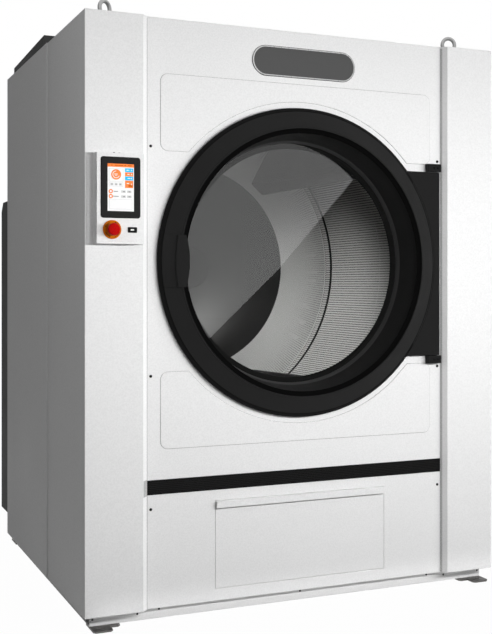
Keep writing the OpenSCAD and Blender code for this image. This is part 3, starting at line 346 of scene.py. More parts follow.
RECIPES = {
    "white_powder_coat": (cabinet_coat, 0.18),
    "dark_powder_coat": (powder_coat, shade(0.045), 0.2),
    "clamp_coat": (powder_coat, shade(0.015), 0.1),
    "housing_coat": (powder_coat, shade(0.12), 0.02),
    # Lit and shaded copies of the heater housing's coat: painted light and painted shade.
    "heater_lit_coat": (powder_coat, shade(0.13), 0.2),
    "heater_shaded_side_coat": (powder_coat, shade(0.02), 0.1),
    "galvanised_sheet": (galvanised, shade(0.55)),
    "foot_steel": (galvanised, shade(0.16, 0.04)),
    "stainless": (brushed_steel, shade(0.62, 0.015), 0.34, (60, 700, 60)),
    "turned_steel": (brushed_steel, shade(0.6), 0.22, (400, 30, 400)),
    "badge_rim": (brushed_steel, shade(0.7), 0.3, (300, 300, 40)),
    "drum_steel": (worked_steel, shade(0.5, 0.012), 0.4),
    # A darker copy of drum_steel: painted shade on the rear cone.
    "drum_cone_shaded_steel": (worked_steel, shade(0.33, 0.012), 0.4),
    # A near-black copy of the drum's steel: painted shade on the lifters and the rear disc.
    "drum_steel_painted_shade": (worked_steel, shade(0.013, 0.012), 0.0),
    "drum_cover": (worked_steel, shade(0.008, 0.012), 0.0),
    "ring_moulding": (moulding, shade(0.0085), 0.55, 700, 0.15),
    # A darker copy of ring_moulding: painted shade on the door ring's rim.
    "ring_edge": (moulding, shade(0.002), 0.6, 700, 0.1),
    "recess_moulding": (moulding, shade(0.014), 0.6, 500, 0.12),
    # Near-black moulding for the ring's groove, and for the painted shade inside the recess.
    "groove_and_recess_shade_black": (moulding, shade(0.001), 0.7, 500, 0.05),
    "bezel_moulding": (moulding, shade(0.045), 0.45, 700, 0.2),
    "black_trim": (moulding, shade(0.006), 0.5, 600, 0.12),
    "screen_frame": (moulding, shade(0.009), 0.3, 300, 0.2),
    # Painted shade for the line at the foot of the raised fields.
    "field_shade_grey": (moulding, shade(0.2), 0.6, 300, 0.1),
    "band_grey": (moulding, shade(0.42), 0.6, 300, 0.1),
    "badge_face": (moulding, shade(0.075), 0.4, 600, 0.2),
    "stop_red": (moulding, (0.4, 0.003, 0.003, 1), 0.45, 500, 0.15),
    "stop_yellow": (moulding, (0.5, 0.125, 0.004, 1), 0.5, 500, 0.1),
    "black_metal": (cast_metal, shade(0.02), 0.3),
    "cast_iron": (cast_metal, shade(0.16), 0.6),
    "motor_grey": (cast_metal, shade(0.24), 0.0),
    "rubber": (rubber, shade(0.012), 0.75),
    "felt": (rubber, shade(0.08, 0.05), 0.95),
    "perforation": (rubber, shade(0.006), 0.9),
    "door_glass": (clear_glass, (0.94, 0.95, 0.94, 1)),
    "screen_white": (glowing, shade(0.88), 0.12),
    "screen_grey": (glowing, shade(0.62), 0.1),
    "screen_ink": (glowing, shade(0.2), 0.05),
    "screen_orange": (glowing, (0.95, 0.24, 0.06, 1), 0.15),
    "screen_rust": (glowing, (0.6, 0.13, 0.01, 1), 0.1),
    "screen_blue": (glowing, (0.02, 0.5, 0.9, 1), 0.15),
    "studio_floor": (pale_floor, 0.985),
    "flag_black": (black_card,),
}


@cache
def material(name):
    """One of the materials above, made when it is first asked for."""
    recipe, *values = RECIPES[name]
    finish = Finish(bpy.data.materials.new(name))
    finish.node("ShaderNodeOutputMaterial", None, {"Surface": recipe(finish, *values)})
    return finish.owner


# Pieces


def new_object(name, data):
    """An object with this mesh, lamp or lens, linked to the scene."""
    made = bpy.data.objects.new(name, data)
    bpy.context.scene.collection.objects.link(made)
    return made


def put(name, mesh, body, finish):
    """Links a mesh as a piece that rides on a CAD body."""
    piece = new_object(name, mesh)
    if finish:
        mesh.materials.clear()
        mesh.materials.append(material(finish))
    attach(piece, body)
    return piece


def soften(piece, width, angle=32):
    """Rounds a piece's sharp edges and shades the rest smooth."""
    piece.data.polygons.foreach_set("use_smooth", [True] * len(piece.data.polygons))
    piece.data.set_sharp_from_angle(angle=math.radians(angle))
    if width:
        bevel = piece.modifiers.new("Rounded edges", "BEVEL")
        bevel.width = width
        bevel.segments = 2
        bevel.limit_method = "ANGLE"
        bevel.angle_limit = math.radians(angle)
        bevel.harden_normals = True
    return piece


def merged_copy(node):
    """A CAD node's loose triangles, joined where they meet."""
    bm = bmesh.new()
    bm.from_mesh(frame["nodes"][node].data)
    bmesh.ops.remove_doubles(bm, verts=bm.verts, dist=MM / 100)
    return bm


def dress(node, finish, width=0.0, part="", keep=None):
    """A merged copy of a CAD node, or of the faces that keep() picks, with its edges rounded."""
    source = frame["nodes"][node]
    title = "dressed_" + (part or node)
    bm = merged_copy(node)
    if keep:
        others = [face for face in bm.faces if not keep(face.calc_center_median())]
        bmesh.ops.delete(bm, geom=others, context="FACES")
    flat = math.radians(0.2)
    bmesh.ops.dissolve_limit(bm, angle_limit=flat, verts=bm.verts, edges=bm.edges)
    mesh = bpy.data.meshes.new(title)
    bm.to_mesh(mesh)
    bm.free()
    given = mesh.attributes.get("custom_normal")
    if given:
        mesh.attributes.remove(given)
    piece = put(title, mesh, source["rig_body"], finish)
    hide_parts(node)
    return soften(piece, width)


def coat(node, finish):
    """Gives a CAD node its finish and leaves its shape alone."""
    materials = frame["nodes"][node].data.materials
    materials.clear()
    materials.append(material(finish))


# Shapes


def rectangle(x1, x2, z1, z2):
    return [(x1, z1), (x2, z1), (x2, z2), (x1, z2)]


def polar(x, z, radius, angle):
    return (x + radius * math.cos(angle), z + radius * math.sin(angle))


def rounded_box(x, z, width, height, radius, steps=6):
    """The outline of a rounded rectangle about its middle, as (x, z) points."""
    points = []
    for corner, (sx, sz) in enumerate(((1, 1), (-1, 1), (-1, -1), (1, -1))):
        cx = x + sx * (width / 2 - radius)
        cz = z + sz * (height / 2 - radius)
        for step in range(steps + 1):
            points.append(polar(cx, cz, radius, math.pi / 2 * (corner + step / steps)))
    return points


def disc(x, z, radius, steps=40):
    return [polar(x, z, radius, FULL_TURN * i / steps) for i in range(steps)]


def band(outer, inner, front, back):
    """The section of a flat ring, as (radius, y) points."""
    return [(outer, front), (inner, front), (inner, back), (outer, back)]


class Form:
    """A shape in the making, built up from closed bodies, that becomes one mesh."""

    def __init__(self):
        self.bm = bmesh.new()

    def loft(self, rows, closed=False):
        """Adds a body through rows of points. Its ends are capped unless it closes on itself."""
        rows = [[self.bm.verts.new(point) for point in row] for row in rows]
        for here, there in pairwise(rows + rows[:1] if closed else rows):
            for i in range(len(here)):
                j = (i + 1) % len(here)
                self.bm.faces.new((here[i], here[j], there[j], there[i]))
        if not closed:
            self.bm.faces.new(rows[0])
            self.bm.faces.new(rows[-1][::-1])

    def slab(self, outline, front, back):
        """Adds a plate: an outline of (x, z) points between two depths."""
        near, far = ([self.bm.verts.new((x, y, z)) for x, z in outline] for y in (front, back))
        self.bm.faces.new(near)
        self.bm.faces.new(far[::-1])
        for i in range(len(outline)):
            j = (i + 1) % len(outline)
            self.bm.faces.new((near[i], far[i], far[j], near[j]))

    def hoop(self, x, z, section, start=0.0, sweep=360.0, steps=ROUND_STEPS):
        """Adds a ring, or an arc of one: a section of (radius, y) points round an axis along Y.

        Angles are in degrees from +X.
        """
        closed = sweep >= 360
        rows = []
        for i in range(steps if closed else steps + 1):
            angle = math.radians(start + sweep * i / steps)
            rows.append([(x + r * math.cos(angle), y, z + r * math.sin(angle)) for r, y in section])
        self.loft(rows, closed)

    def mesh(self, name):
        """The mesh, with its doubles merged and its faces pointing outwards."""
        bmesh.ops.remove_doubles(self.bm, verts=self.bm.verts, dist=MM / 100)
        bmesh.ops.recalc_face_normals(self.bm, faces=self.bm.faces)
        mesh = bpy.data.meshes.new(name)
        self.bm.to_mesh(mesh)
        self.bm.free()
        return mesh

    def piece(self, name, body, finish, slot):
        return put(name, self.mesh(name), body, finish)


# Geometry Nodes


class Grower(Tree):
    """A Geometry Nodes tree with named inputs, which is baked into a plain mesh.

    Each input is given as its default number, or as a word for an input that has no default.
    """

    def __init__(self, name, inputs):
        super().__init__(bpy.data.node_groups.new(name, "GeometryNodeTree"))
        interface = self.tree.interface
        interface.new_socket("Geometry", in_out="INPUT", socket_type="NodeSocketGeometry")
        self.sockets = {}
        for title, value in inputs.items():
            kind = {float: "Float", int: "Int"}.get(type(value), value)
            socket = interface.new_socket(title, in_out="INPUT", socket_type="NodeSocket" + kind)
            if kind != value:
                socket.default_value = value
            self.sockets[title] = socket.identifier
        interface.new_socket("Geometry", in_out="OUTPUT", socket_type="NodeSocketGeometry")
        self.given = self.node("NodeGroupInput").socket.node.outputs

    def __getitem__(self, title):
        return Wire(self, self.given[title])

    def close(self, geometry):
        """Ends the tree: real faces, then the material from the input named Finish."""
        solid = self.node("GeometryNodeRealizeInstances", None, {0: geometry})
        dressed = self.node("GeometryNodeSetMaterial", None, {0: solid, "Material": self["Finish"]})
        self.node("NodeGroupOutput", None, {0: dressed})

    def grow(self, name, body, slot, values, host=None):
        """Bakes the tree with these values into a piece that rides on a body."""
        seed = new_object(name + "_seed", host or bpy.data.meshes.new(name + "_seed"))
        modifier = seed.modifiers.new("Grow", "NODES")
        modifier.node_group = self.tree
        for title, value in values.items():
            modifier[self.sockets[title]] = value
        depsgraph = bpy.context.evaluated_depsgraph_get()
        mesh = bpy.data.meshes.new_from_object(seed.evaluated_get(depsgraph))
        bpy.data.objects.remove(seed)
        return put(name, mesh, body, None)


def perforation_tree():
    """Rows of small holes inside a drum, or a cone that narrows by Narrowing per metre.

    The holes shrink along each row by the share Fading.
    """
    tree = Grower("Perforations", {
        "Radius": 0.64, "Narrowing": 0.0, "Start": 0.0, "Fading": 0.0, "Pitch": 0.012, "Rows": 250,
        "Holes": 10, "Hole radius": 0.004, "Axis height": 1.0, "Finish": "Material",
    })
    points = tree.node("GeometryNodeMeshLine", {"mode": "OFFSET"}, {"Count": tree["Rows"] * tree["Holes"]})
    index = tree.node("GeometryNodeInputIndex")
    hole = index % tree["Holes"]
    turn = tree.maths("FLOOR", index / tree["Holes"]) * FULL_TURN / tree["Rows"]
    across, up = tree.maths("COSINE", turn), tree.maths("SINE", turn)
    along = hole * tree["Pitch"]
    radius = tree["Radius"] - along * tree["Narrowing"]
    place = tree.node("ShaderNodeCombineXYZ", None, {
        "X": radius * across, "Y": tree["Start"] + along, "Z": tree["Axis height"] + radius * up,
    })
    inward = tree.node("ShaderNodeCombineXYZ", None, {
        "X": across * -1, "Y": tree["Narrowing"] * -1, "Z": up * -1,
    })
    spread = tree.node("GeometryNodeSetPosition", None, {0: points, "Position": place})
    face = tree.node("GeometryNodeMeshCircle", {"fill_type": "NGON"}, {
        "Vertices": 6, "Radius": tree["Hole radius"],
    })
    facing = tree.node("FunctionNodeAlignRotationToVector", {"axis": "Z"}, {"Vector": inward})
    tree.close(tree.node("GeometryNodeInstanceOnPoints", None, {
        0: spread, "Instance": face, "Rotation": facing, "Scale": 1 - hole / tree["Holes"] * tree["Fading"],
    }))
    return tree


def screw_tree():
    """A copy of one fastener on each point of the host, which faces the way of the point's arrow."""
    tree = Grower("Fasteners", {"Fastener": "Object", "Radius": 1.0, "Finish": "Material"})
    shape = tree.node("GeometryNodeObjectInfo", None, {0: tree["Fastener"]}, out="Geometry")
    arrow = tree.node("GeometryNodeInputNamedAttribute", {"data_type": "FLOAT_VECTOR"}, {"Name": "facing"})
    turn = tree.node("FunctionNodeAlignRotationToVector", {"axis": "Z"}, {"Vector": arrow})
    seats = tree.node("GeometryNodeMeshToPoints", None, {0: tree["Geometry"]})
    tree.close(tree.node("GeometryNodeInstanceOnPoints", None, {
        0: seats, "Instance": shape, "Rotation": turn, "Scale": tree["Radius"],
    }))
    return tree


def seat_mesh(name, seats):
    """Points with the direction that each fastener's head faces."""
    mesh = bpy.data.meshes.new(name)
    mesh.from_pydata([place for place, way in seats], [], [])
    facing = mesh.attributes.new("facing", "FLOAT_VECTOR", "POINT")
    for i, (place, way) in enumerate(seats):
        facing.data[i].vector = way
    return mesh


def domed_head(sides=14):
    """A domed screw head of radius 1 with a round socket, standing on the origin and facing +Z."""
    profile = ((1.0, -0.1), (1.0, 0.12), (0.9, 0.3), (0.62, 0.44), (0.4, 0.47), (0.34, 0.12))
    form = Form()
    form.loft([[(x, y, z) for x, y in disc(0, 0, r, sides)] for r, z in profile])
    return new_object("domed_head", form.mesh("domed_head"))


def fasten(name, seats, radius, finish, body, slot):
    """One piece of like screws on these seats, each a (place, direction) pair."""
    head = domed_head()
    values = {"Fastener": head, "Radius": radius, "Finish": material(finish)}
    piece = screw_tree().grow(name, body, slot, values, seat_mesh(name + "_seats", seats))
    bpy.data.objects.remove(head)
    return piece


def screw_seats():
    """The middle of each of the CAD model's plain screw heads and the way it faces."""
    bm = merged_copy("panel_screws")
    left = set(bm.verts)
    seats = []
    while left:
        head, edge = [], [left.pop()]
        while edge:
            vert = edge.pop()
            head.append(vert.co)
            near = {link.other_vert(vert) for link in vert.link_edges} & left
            left -= near
            edge += near
        lows = Vector([min(co[k] for co in head) for k in range(3)])
        highs = Vector([max(co[k] for co in head) for k in range(3)])
        centre = (lows + highs) / 2
        if highs.z - lows.z < highs.y - lows.y:
            seats.append((Vector((centre.x, centre.y, lows.z)), UP))
        else:
            seats.append((Vector((centre.x, highs.y, centre.z)), FRONT))
    bm.free()
    return sorted(seats, key=lambda seat: tuple(seat[0]))


# Sizes that a user may change


class DryerCabinet(bpy.types.PropertyGroup):
    coat: FloatVectorProperty(
        name="Coat", description="Colour of the white powder coat", subtype="COLOR", size=4,
        default=(0.86, 0.86, 0.86, 1), min=0, max=1)
    sheet_edge: FloatProperty(
        name="Sheet edge", description="Rounding of the folded sheet's edges", default=0.8 * MM,
        unit="LENGTH")
    badge_width: FloatProperty(
        name="Badge width", description="Width of the bare badge plate", default=0.4, unit="LENGTH")
    badge_height: FloatProperty(
        name="Badge height", description="Height of the bare badge plate", default=0.106, unit="LENGTH")
    badge_x: FloatProperty(
        name="Badge offset", description="Distance of the badge's middle from the cabinet's",
        default=7.6 * MM, unit="LENGTH")
    badge_z: FloatProperty(
        name="Badge place", description="Height of the badge's middle above the floor", default=1.886,
        unit="LENGTH")
    screw_radius: FloatProperty(
        name="Screw radius", description="Radius of the panel screws' heads", default=5 * MM, unit="LENGTH")


class DryerDrum(bpy.types.PropertyGroup):
    row_pitch: FloatProperty(
        name="Row pitch", description="Distance between rows of holes round the drum", default=10.6 * MM,
        unit="LENGTH")
    hole_pitch: FloatProperty(
        name="Hole pitch", description="Distance between holes along a row", default=8 * MM, unit="LENGTH")
    hole_radius: FloatProperty(
        name="Hole radius", description="Radius of a hole in the drum", default=3.1 * MM, unit="LENGTH")
    seam_depth: FloatProperty(
        name="Seam", description="Distance of the shell's round seam behind the drum's front", default=0.88,
        unit="LENGTH")
    rivets: IntProperty(
        name="Rivets", description="Number of rivets in the row behind the seam", default=460, min=3)


class DryerStudio(bpy.types.PropertyGroup):
    camera_place: FloatVectorProperty(
        name="Camera", description="Where the camera stands", subtype="TRANSLATION", unit="LENGTH",
        default=(-1.648, -4.0882, 1.1122))
    camera_turn: FloatProperty(
        name="Camera turn", description="How far the camera looks to the right of straight on",
        subtype="ANGLE", default=math.radians(23.368))
    lens: FloatProperty(name="Lens", description="Focal length in millimetres", default=59.97, min=1)
    frame_drop: FloatProperty(
        name="Frame drop", description="How far the lens is shifted down, as a share of the picture",
        default=0.0508)
    key_power: FloatProperty(name="Key power", description="Power of the row of lamps", default=79, min=0)
    key_lamps: IntProperty(name="Key lamps", description="Number of lamps in the row", default=10, min=1)
    fill_power: FloatProperty(
        name="Fill power", description="Power of the lamp on the left", default=4.5, min=0)
    drum_power: FloatProperty(
        name="Drum power", description="Power of the lamp inside the drum that lights its shell",
        default=4.3, min=0)
    disc_power: FloatProperty(
        name="Disc power", description="Power of the small lamp inside the drum that lights its rear disc",
        default=1.1, min=0)
    skirt_power: FloatProperty(
        name="Skirt power", description="Power of the low lamp that washes the base", default=0.07, min=0)
    back_power: FloatProperty(name="Back power", description="Power of the lamp behind", default=160, min=0)
    ambient: FloatProperty(
        name="Ambient", description="Strength of the light from all round", default=0.17, min=0)


# Operators


class DRYER_OT_cabinet(bpy.types.Operator):
    """Finishes the cabinet: panels, roof, frame, trim strip, badge plate and panel screws"""

    bl_idname = "dryer.cabinet"
    bl_label = "Finish the cabinet"

    def execute(self, context):
        look = context.scene.dryer_cabinet
        for node in (
            "left_pillar_cover", "right_pillar_cover", "left_side_panel", "right_side_panel",
            "front_upper_panel", "front_lower_panel", "roof_panel",
        ):
            dress(node, "white_powder_coat", look.sheet_edge)
        dress("trim_strip", "black_trim", 0.3 * MM)
        dress("base_frame", "white_powder_coat", MM)
        dress("foot_plates", "foot_steel", MM)
        dress("lifting_eyes", "galvanised_sheet", 0.5 * MM)
        for node in ("upper_frame", "bearing_beams"):
            coat(node, "dark_powder_coat")
        self.badge(look)
        # Painted shade along the raised fields' steps.
        self.field_lines()
        self.bevel_bands()
        self.side_seams()
        # Painted shadow under the panels' lower edges.
        self.base_line()
        self.screws(look)
        return {"FINISHED"}

    def badge(self, look):
        """A bare pill: a dark backing, a light rim and a dark face set into it."""
        backing, lip, rim_wide = 1.6 * MM, 1.2 * MM, 4 * MM
        shoulder, crest = 2.5 * MM, 4 * MM
        nearly_round = 0.999

        def pill(inset):
            half = look.badge_height / 2 - inset
            return rounded_box(look.badge_x, look.badge_z, look.badge_width - 2 * inset, 2 * half,
                               half * nearly_round, 24)

        for name, inset, proud, finish in (
            ("badge_backing", 0, 1.6 * MM, "black_trim"),
            ("badge_face", backing + rim_wide, 2.6 * MM, "badge_face"),
        ):
            form = Form()
            form.slab(pill(inset), PANEL_FACE - proud, PANEL_FACE)
            soften(form.piece(name, "cabinet", finish, "dark_grey_moulding"), 0.4 * MM)
        rim = Form()
        rim.loft([
            [(x, PANEL_FACE - proud, z) for x, z in pill(inset)]
            for inset, proud in ((backing, 0), (backing, shoulder), (backing + lip, crest),
                                 (backing + rim_wide, crest), (backing + rim_wide, 0))
        ], closed=True)
        soften(rim.piece("badge_rim", "cabinet", "badge_rim", "stainless"), 0)

    def field_lines(self):
        """Painted shade: a fine dark line at the foot of each raised field, above the door and below it,
        where the step's shade falls.
        """
        width, far, near, corner, bow = 1.046, 0.621, 0.367, 0.025, 0.561
        line, lift, arch_steps = 1.3 * MM, 0.15 * MM, 48
        box = rounded_box(0, (far + near) / 2, width, far - near, corner)
        last_corner = 3 * len(box) // 4
        start = math.pi - math.asin(near / bow)
        sweep = math.pi - 2 * start
        arch = [polar(0, 0, bow, start + sweep * k / arch_steps) for k in range(arch_steps + 1)]
        outline = [Vector(point) for point in box[last_corner:] + box[:last_corner] + arch]
        form = Form()
        for side in (-1, 1):
            rows = []
            for i, here in enumerate(outline):
                way = (outline[(i + 1) % len(outline)] - outline[i - 1]).normalized()
                outer = here + Vector((way.y, -way.x)) * line
                section = ((here, 0), (here, lift), (outer, lift), (outer, 0))
                rows.append([(p.x, PANEL_FACE - proud, AXIS_Z + side * p.y) for p, proud in section])
            form.loft(rows, closed=True)
        form.piece("field_lines", "cabinet", "field_shade_grey", "white_powder_coat")

    def bevel_bands(self):
        """What lies on the bevels beside the front panels: a clip at the strip's end, a band of painted
        shade on the right bevel's inner third, and a line.
        """
        strip_low, strip_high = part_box("trim_strip")
        foot, roof = low("left_pillar_cover").z + 2 * MM, high("left_pillar_cover").z - 4 * MM
        bevel = (PANEL_FACE - PILLAR_FACE) * math.sqrt(2) - 2 * MM
        margin, skin = 3 * MM, 0.25 * MM
        bands = {
            "trim_end_clip": (-1, bevel, strip_low.z - margin, strip_high.z + margin, "band_grey"),
            # Painted shade: a mid-grey band on the right bevel.
            "bevel_band": (1, bevel / 3, foot, roof, "band_grey"),
            "bevel_line": (-1, 2.2 * MM, foot, roof, "motor_grey"),
        }
        for name, (side, wide, below, above, finish) in bands.items():
            near = Vector((side * strip_high.x, PANEL_FACE))
            far = near + Vector((side, -1)).normalized() * wide
            off = Vector((-side, -1)).normalized() * skin
            form = Form()
            form.loft([[(*p, z) for p in (near, far, far + off, near + off)] for z in (below, above)])
            form.piece(name, "cabinet", finish, "white_powder_coat")

    def side_seams(self):
        """The bright folded edge where each side panel meets its pillar."""
        lows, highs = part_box("right_side_panel")
        proud, root, wide = 0.3 * MM, 2 * MM, 3.5 * MM
        for side, title in ((-1, "left_seam_edge"), (1, "right_seam_edge")):
            outline = rectangle(side * (highs.x - root), side * (highs.x + proud), lows.z, highs.z)
            form = Form()
            form.slab(outline, lows.y - proud, lows.y + wide)
            form.piece(title, "cabinet", "white_powder_coat", "white_powder_coat")

    def base_line(self):
        """Painted shadow: a black strip on the base frame's face just under the panels' lower edges, where
        their shade falls.
        """
        face, skin, tall = low("base_frame").y, 0.2 * MM, 2.2 * MM
        form = Form()
        for node in ("left_pillar_cover", "front_lower_panel", "right_pillar_cover"):
            lows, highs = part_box(node)
            form.slab(rectangle(lows.x, highs.x, lows.z - tall, lows.z), face - skin, face + MM)
        form.piece("base_line", "cabinet", "black_trim", "white_powder_coat")

    def screws(self, look):
        """Domed screws where the CAD model has its plain heads. Those along the base are smaller."""
        base_top = low("front_lower_panel").z + 8 * MM
        base_share = 0.7
        seats = screw_seats()
        above = [seat for seat in seats if seat[0].z >= base_top]
        along_base = [seat for seat in seats if seat[0].z < base_top]
        for name, radius, group in (
            ("panel_screw_heads", look.screw_radius, above),
            ("base_screw_heads", base_share * look.screw_radius, along_base),
        ):
            heads = fasten(name, group, radius, "black_trim", "cabinet", "black_metal")
            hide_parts("panel_screws")


class DRYER_OT_door(bpy.types.Operator):
    """Finishes the door: ring, recess, bezel, glass, seals, handle and hinges"""

    bl_idname = "dryer.door"
    bl_label = "Finish the door"

    def execute(self, context):
        centre = middle("door_glass")

        def on_shaded_rim(place):
            reach = math.hypot(place.x - centre.x, place.z - centre.z)
            return reach > RING_FACE + MM and place.x < FLANGE_START

        # The ring's outer rim takes a darker copy of its moulding: painted shade on the rim's side wall.
        dress("door_ring", "ring_edge", 0.6 * MM, part="door_ring_edge", keep=on_shaded_rim)
        dress("door_ring", "ring_moulding", 0.6 * MM, keep=lambda place: not on_shaded_rim(place))
        self.lines(centre)
        dress("door_handle", "ring_moulding", 0.6 * MM)
        dress("hinge_blocks", "ring_moulding", 1.2 * MM)
        dress("door_inner_cone", "recess_moulding", 0.3 * MM)
        dress("door_bezel", "bezel_moulding", 0.3 * MM)
        coat("door_glass", "door_glass")
        dress("glass_clamp_ring", "clamp_coat")
        dress("door_back_plate", "black_metal")
        dress("door_collar", "stainless")
        coat("hinge_pins", "turned_steel")
        coat("door_magnet", "galvanised_sheet")
        for node in ("glass_gasket", "door_seal"):
            dress(node, "rubber")
        coat("drum_felt_seal", "felt")
        return {"FINISHED"}

    def lines(self, centre):
        """The groove round the ring's face, and a black ring of painted shade just inside the recess's
        mouth.
        """
        half, sunk = 1.2 * MM, PILLAR_FACE + 1.5 * MM
        lip, shade_ring_wide, shade_ring_back = low("door_ring").y, 18 * MM, 7 * MM
        sections = {
            "ring_groove": (
                (RING_FACE - half, PILLAR_FACE - 0.5 * MM), (RING_FACE + half, PILLAR_FACE - 0.1 * MM),
                (RING_FACE + half, sunk), (RING_FACE - half, sunk)),
            # Painted shade: a black ring just inside the recess's mouth.
            "recess_lip": (
                (RING_LIP + MM, lip + 2 * MM), (RING_LIP - shade_ring_wide, lip + 5 * MM),
                (RING_LIP - shade_ring_wide, lip + shade_ring_back), (RING_LIP + MM, lip + shade_ring_back)),
        }
        for name, section in sections.items():
            form = Form()
            form.hoop(centre.x, centre.z, section)
            soften(form.piece(name, "door", "groove_and_recess_shade_black", "black_trim"), 0)


class DRYER_OT_drum(bpy.types.Operator):
    """Finishes the drum: steel, rows of holes, seam and rivets"""

    bl_idname = "dryer.drum"
    bl_label = "Finish the drum"

    def execute(self, context):
        look = context.scene.dryer_drum

        def on_disc(place):
            return math.hypot(place.x, place.z - AXIS_Z) < DISC_RADIUS - 2 * MM

        def on_cover(place):
            return on_disc(place) and place.y < DISC_DEPTH - MM / 2

        for node in ("drum_shell", "drum_front_plate"):
            dress(node, "drum_steel")
        # The lifters and the rear disc take a near-black copy of the drum's steel: painted shade.
        dress("drum_lifters", "drum_steel_painted_shade")
        dress("drum_rear_head", "drum_cover", part="drum_shaft_cover", keep=on_cover)
        dress("drum_rear_head", "drum_steel_painted_shade", part="drum_rear_disc",
              keep=lambda place: on_disc(place) and not on_cover(place))
        # The rear cone takes a darker copy of the shell's steel: painted shade.
        dress("drum_rear_head", "drum_cone_shaded_steel", part="drum_rear_cone", keep=lambda place: not on_disc(place))
        coat("drum_spider", "stainless")
        coat("drum_shaft", "turned_steel")
        tree = perforation_tree()
        self.holes(tree, look)
        self.seam(tree, look)
        return {"FINISHED"}

    def holes(self, tree, look):
        """Rows of holes in front of the seam, behind it and on the outer part of the rear cone.

        The cone's holes are closer together and smaller than the shell's, and fade away inwards.
        """
        closer, smaller, outer_part, fading = 0.65, 0.62, 0.6, 0.9
        pitch, inner = look.hole_pitch, DRUM_RADIUS - 0.25 * MM
        front_rim, margin = 22 * MM, 14 * MM
        seam, half_way = DRUM_FRONT + look.seam_depth, DRUM_FRONT + look.seam_depth / 2
        cone_depth = DISC_DEPTH - SHELL_END
        narrowing = (DRUM_RADIUS - DISC_RADIUS) / cone_depth
        slant = closer * pitch / math.hypot(1, narrowing)
        on_shell = {"Radius": inner, "Narrowing": 0.0, "Fading": 0.0, "Hole radius": look.hole_radius}
        on_cone = {"Radius": inner - narrowing * slant, "Narrowing": narrowing, "Fading": fading,
                   "Hole radius": smaller * look.hole_radius}
        for name, start, end, step, sizes in (
            ("drum_holes_front", DRUM_FRONT + front_rim, half_way, pitch, on_shell),
            ("drum_holes_middle", half_way + pitch, seam - margin, pitch, on_shell),
            ("drum_holes_rear", seam + margin, SHELL_END - margin, pitch, on_shell),
            ("drum_holes_cone", SHELL_END + slant, SHELL_END + outer_part * cone_depth, slant, on_cone),
        ):
            tree.grow(name, "drum", "black_metal", {
                **sizes, "Start": start, "Pitch": step, "Holes": max(1, int((end - start) / step) + 1),
                "Rows": round(FULL_TURN * DRUM_RADIUS / look.row_pitch), "Axis height": AXIS_Z,
                "Finish": material("perforation"),
            })

    def seam(self, tree, look):
        """The dark round seam between the two sheets of the shell, and the row of rivets behind it."""
        y, half, proud = DRUM_FRONT + look.seam_depth, 9 * MM, 1.5 * MM
        from_end, rivet_radius, rivet_skin = 9 * MM, 3.4 * MM, 0.3 * MM
        form = Form()
        form.hoop(0, AXIS_Z, band(DRUM_RADIUS, DRUM_RADIUS - proud, y - half, y + half))
        soften(form.piece("drum_seam", "drum", "perforation", "black_metal"), 0)
        tree.grow("drum_rivets", "drum", "black_metal", {
            "Radius": DRUM_RADIUS - rivet_skin, "Narrowing": 0.0, "Start": SHELL_END - from_end,
            "Fading": 0.0, "Pitch": look.hole_pitch, "Rows": look.rivets, "Holes": 1,
            "Hole radius": rivet_radius,
            "Axis height": AXIS_Z, "Finish": material("perforation"),
        })


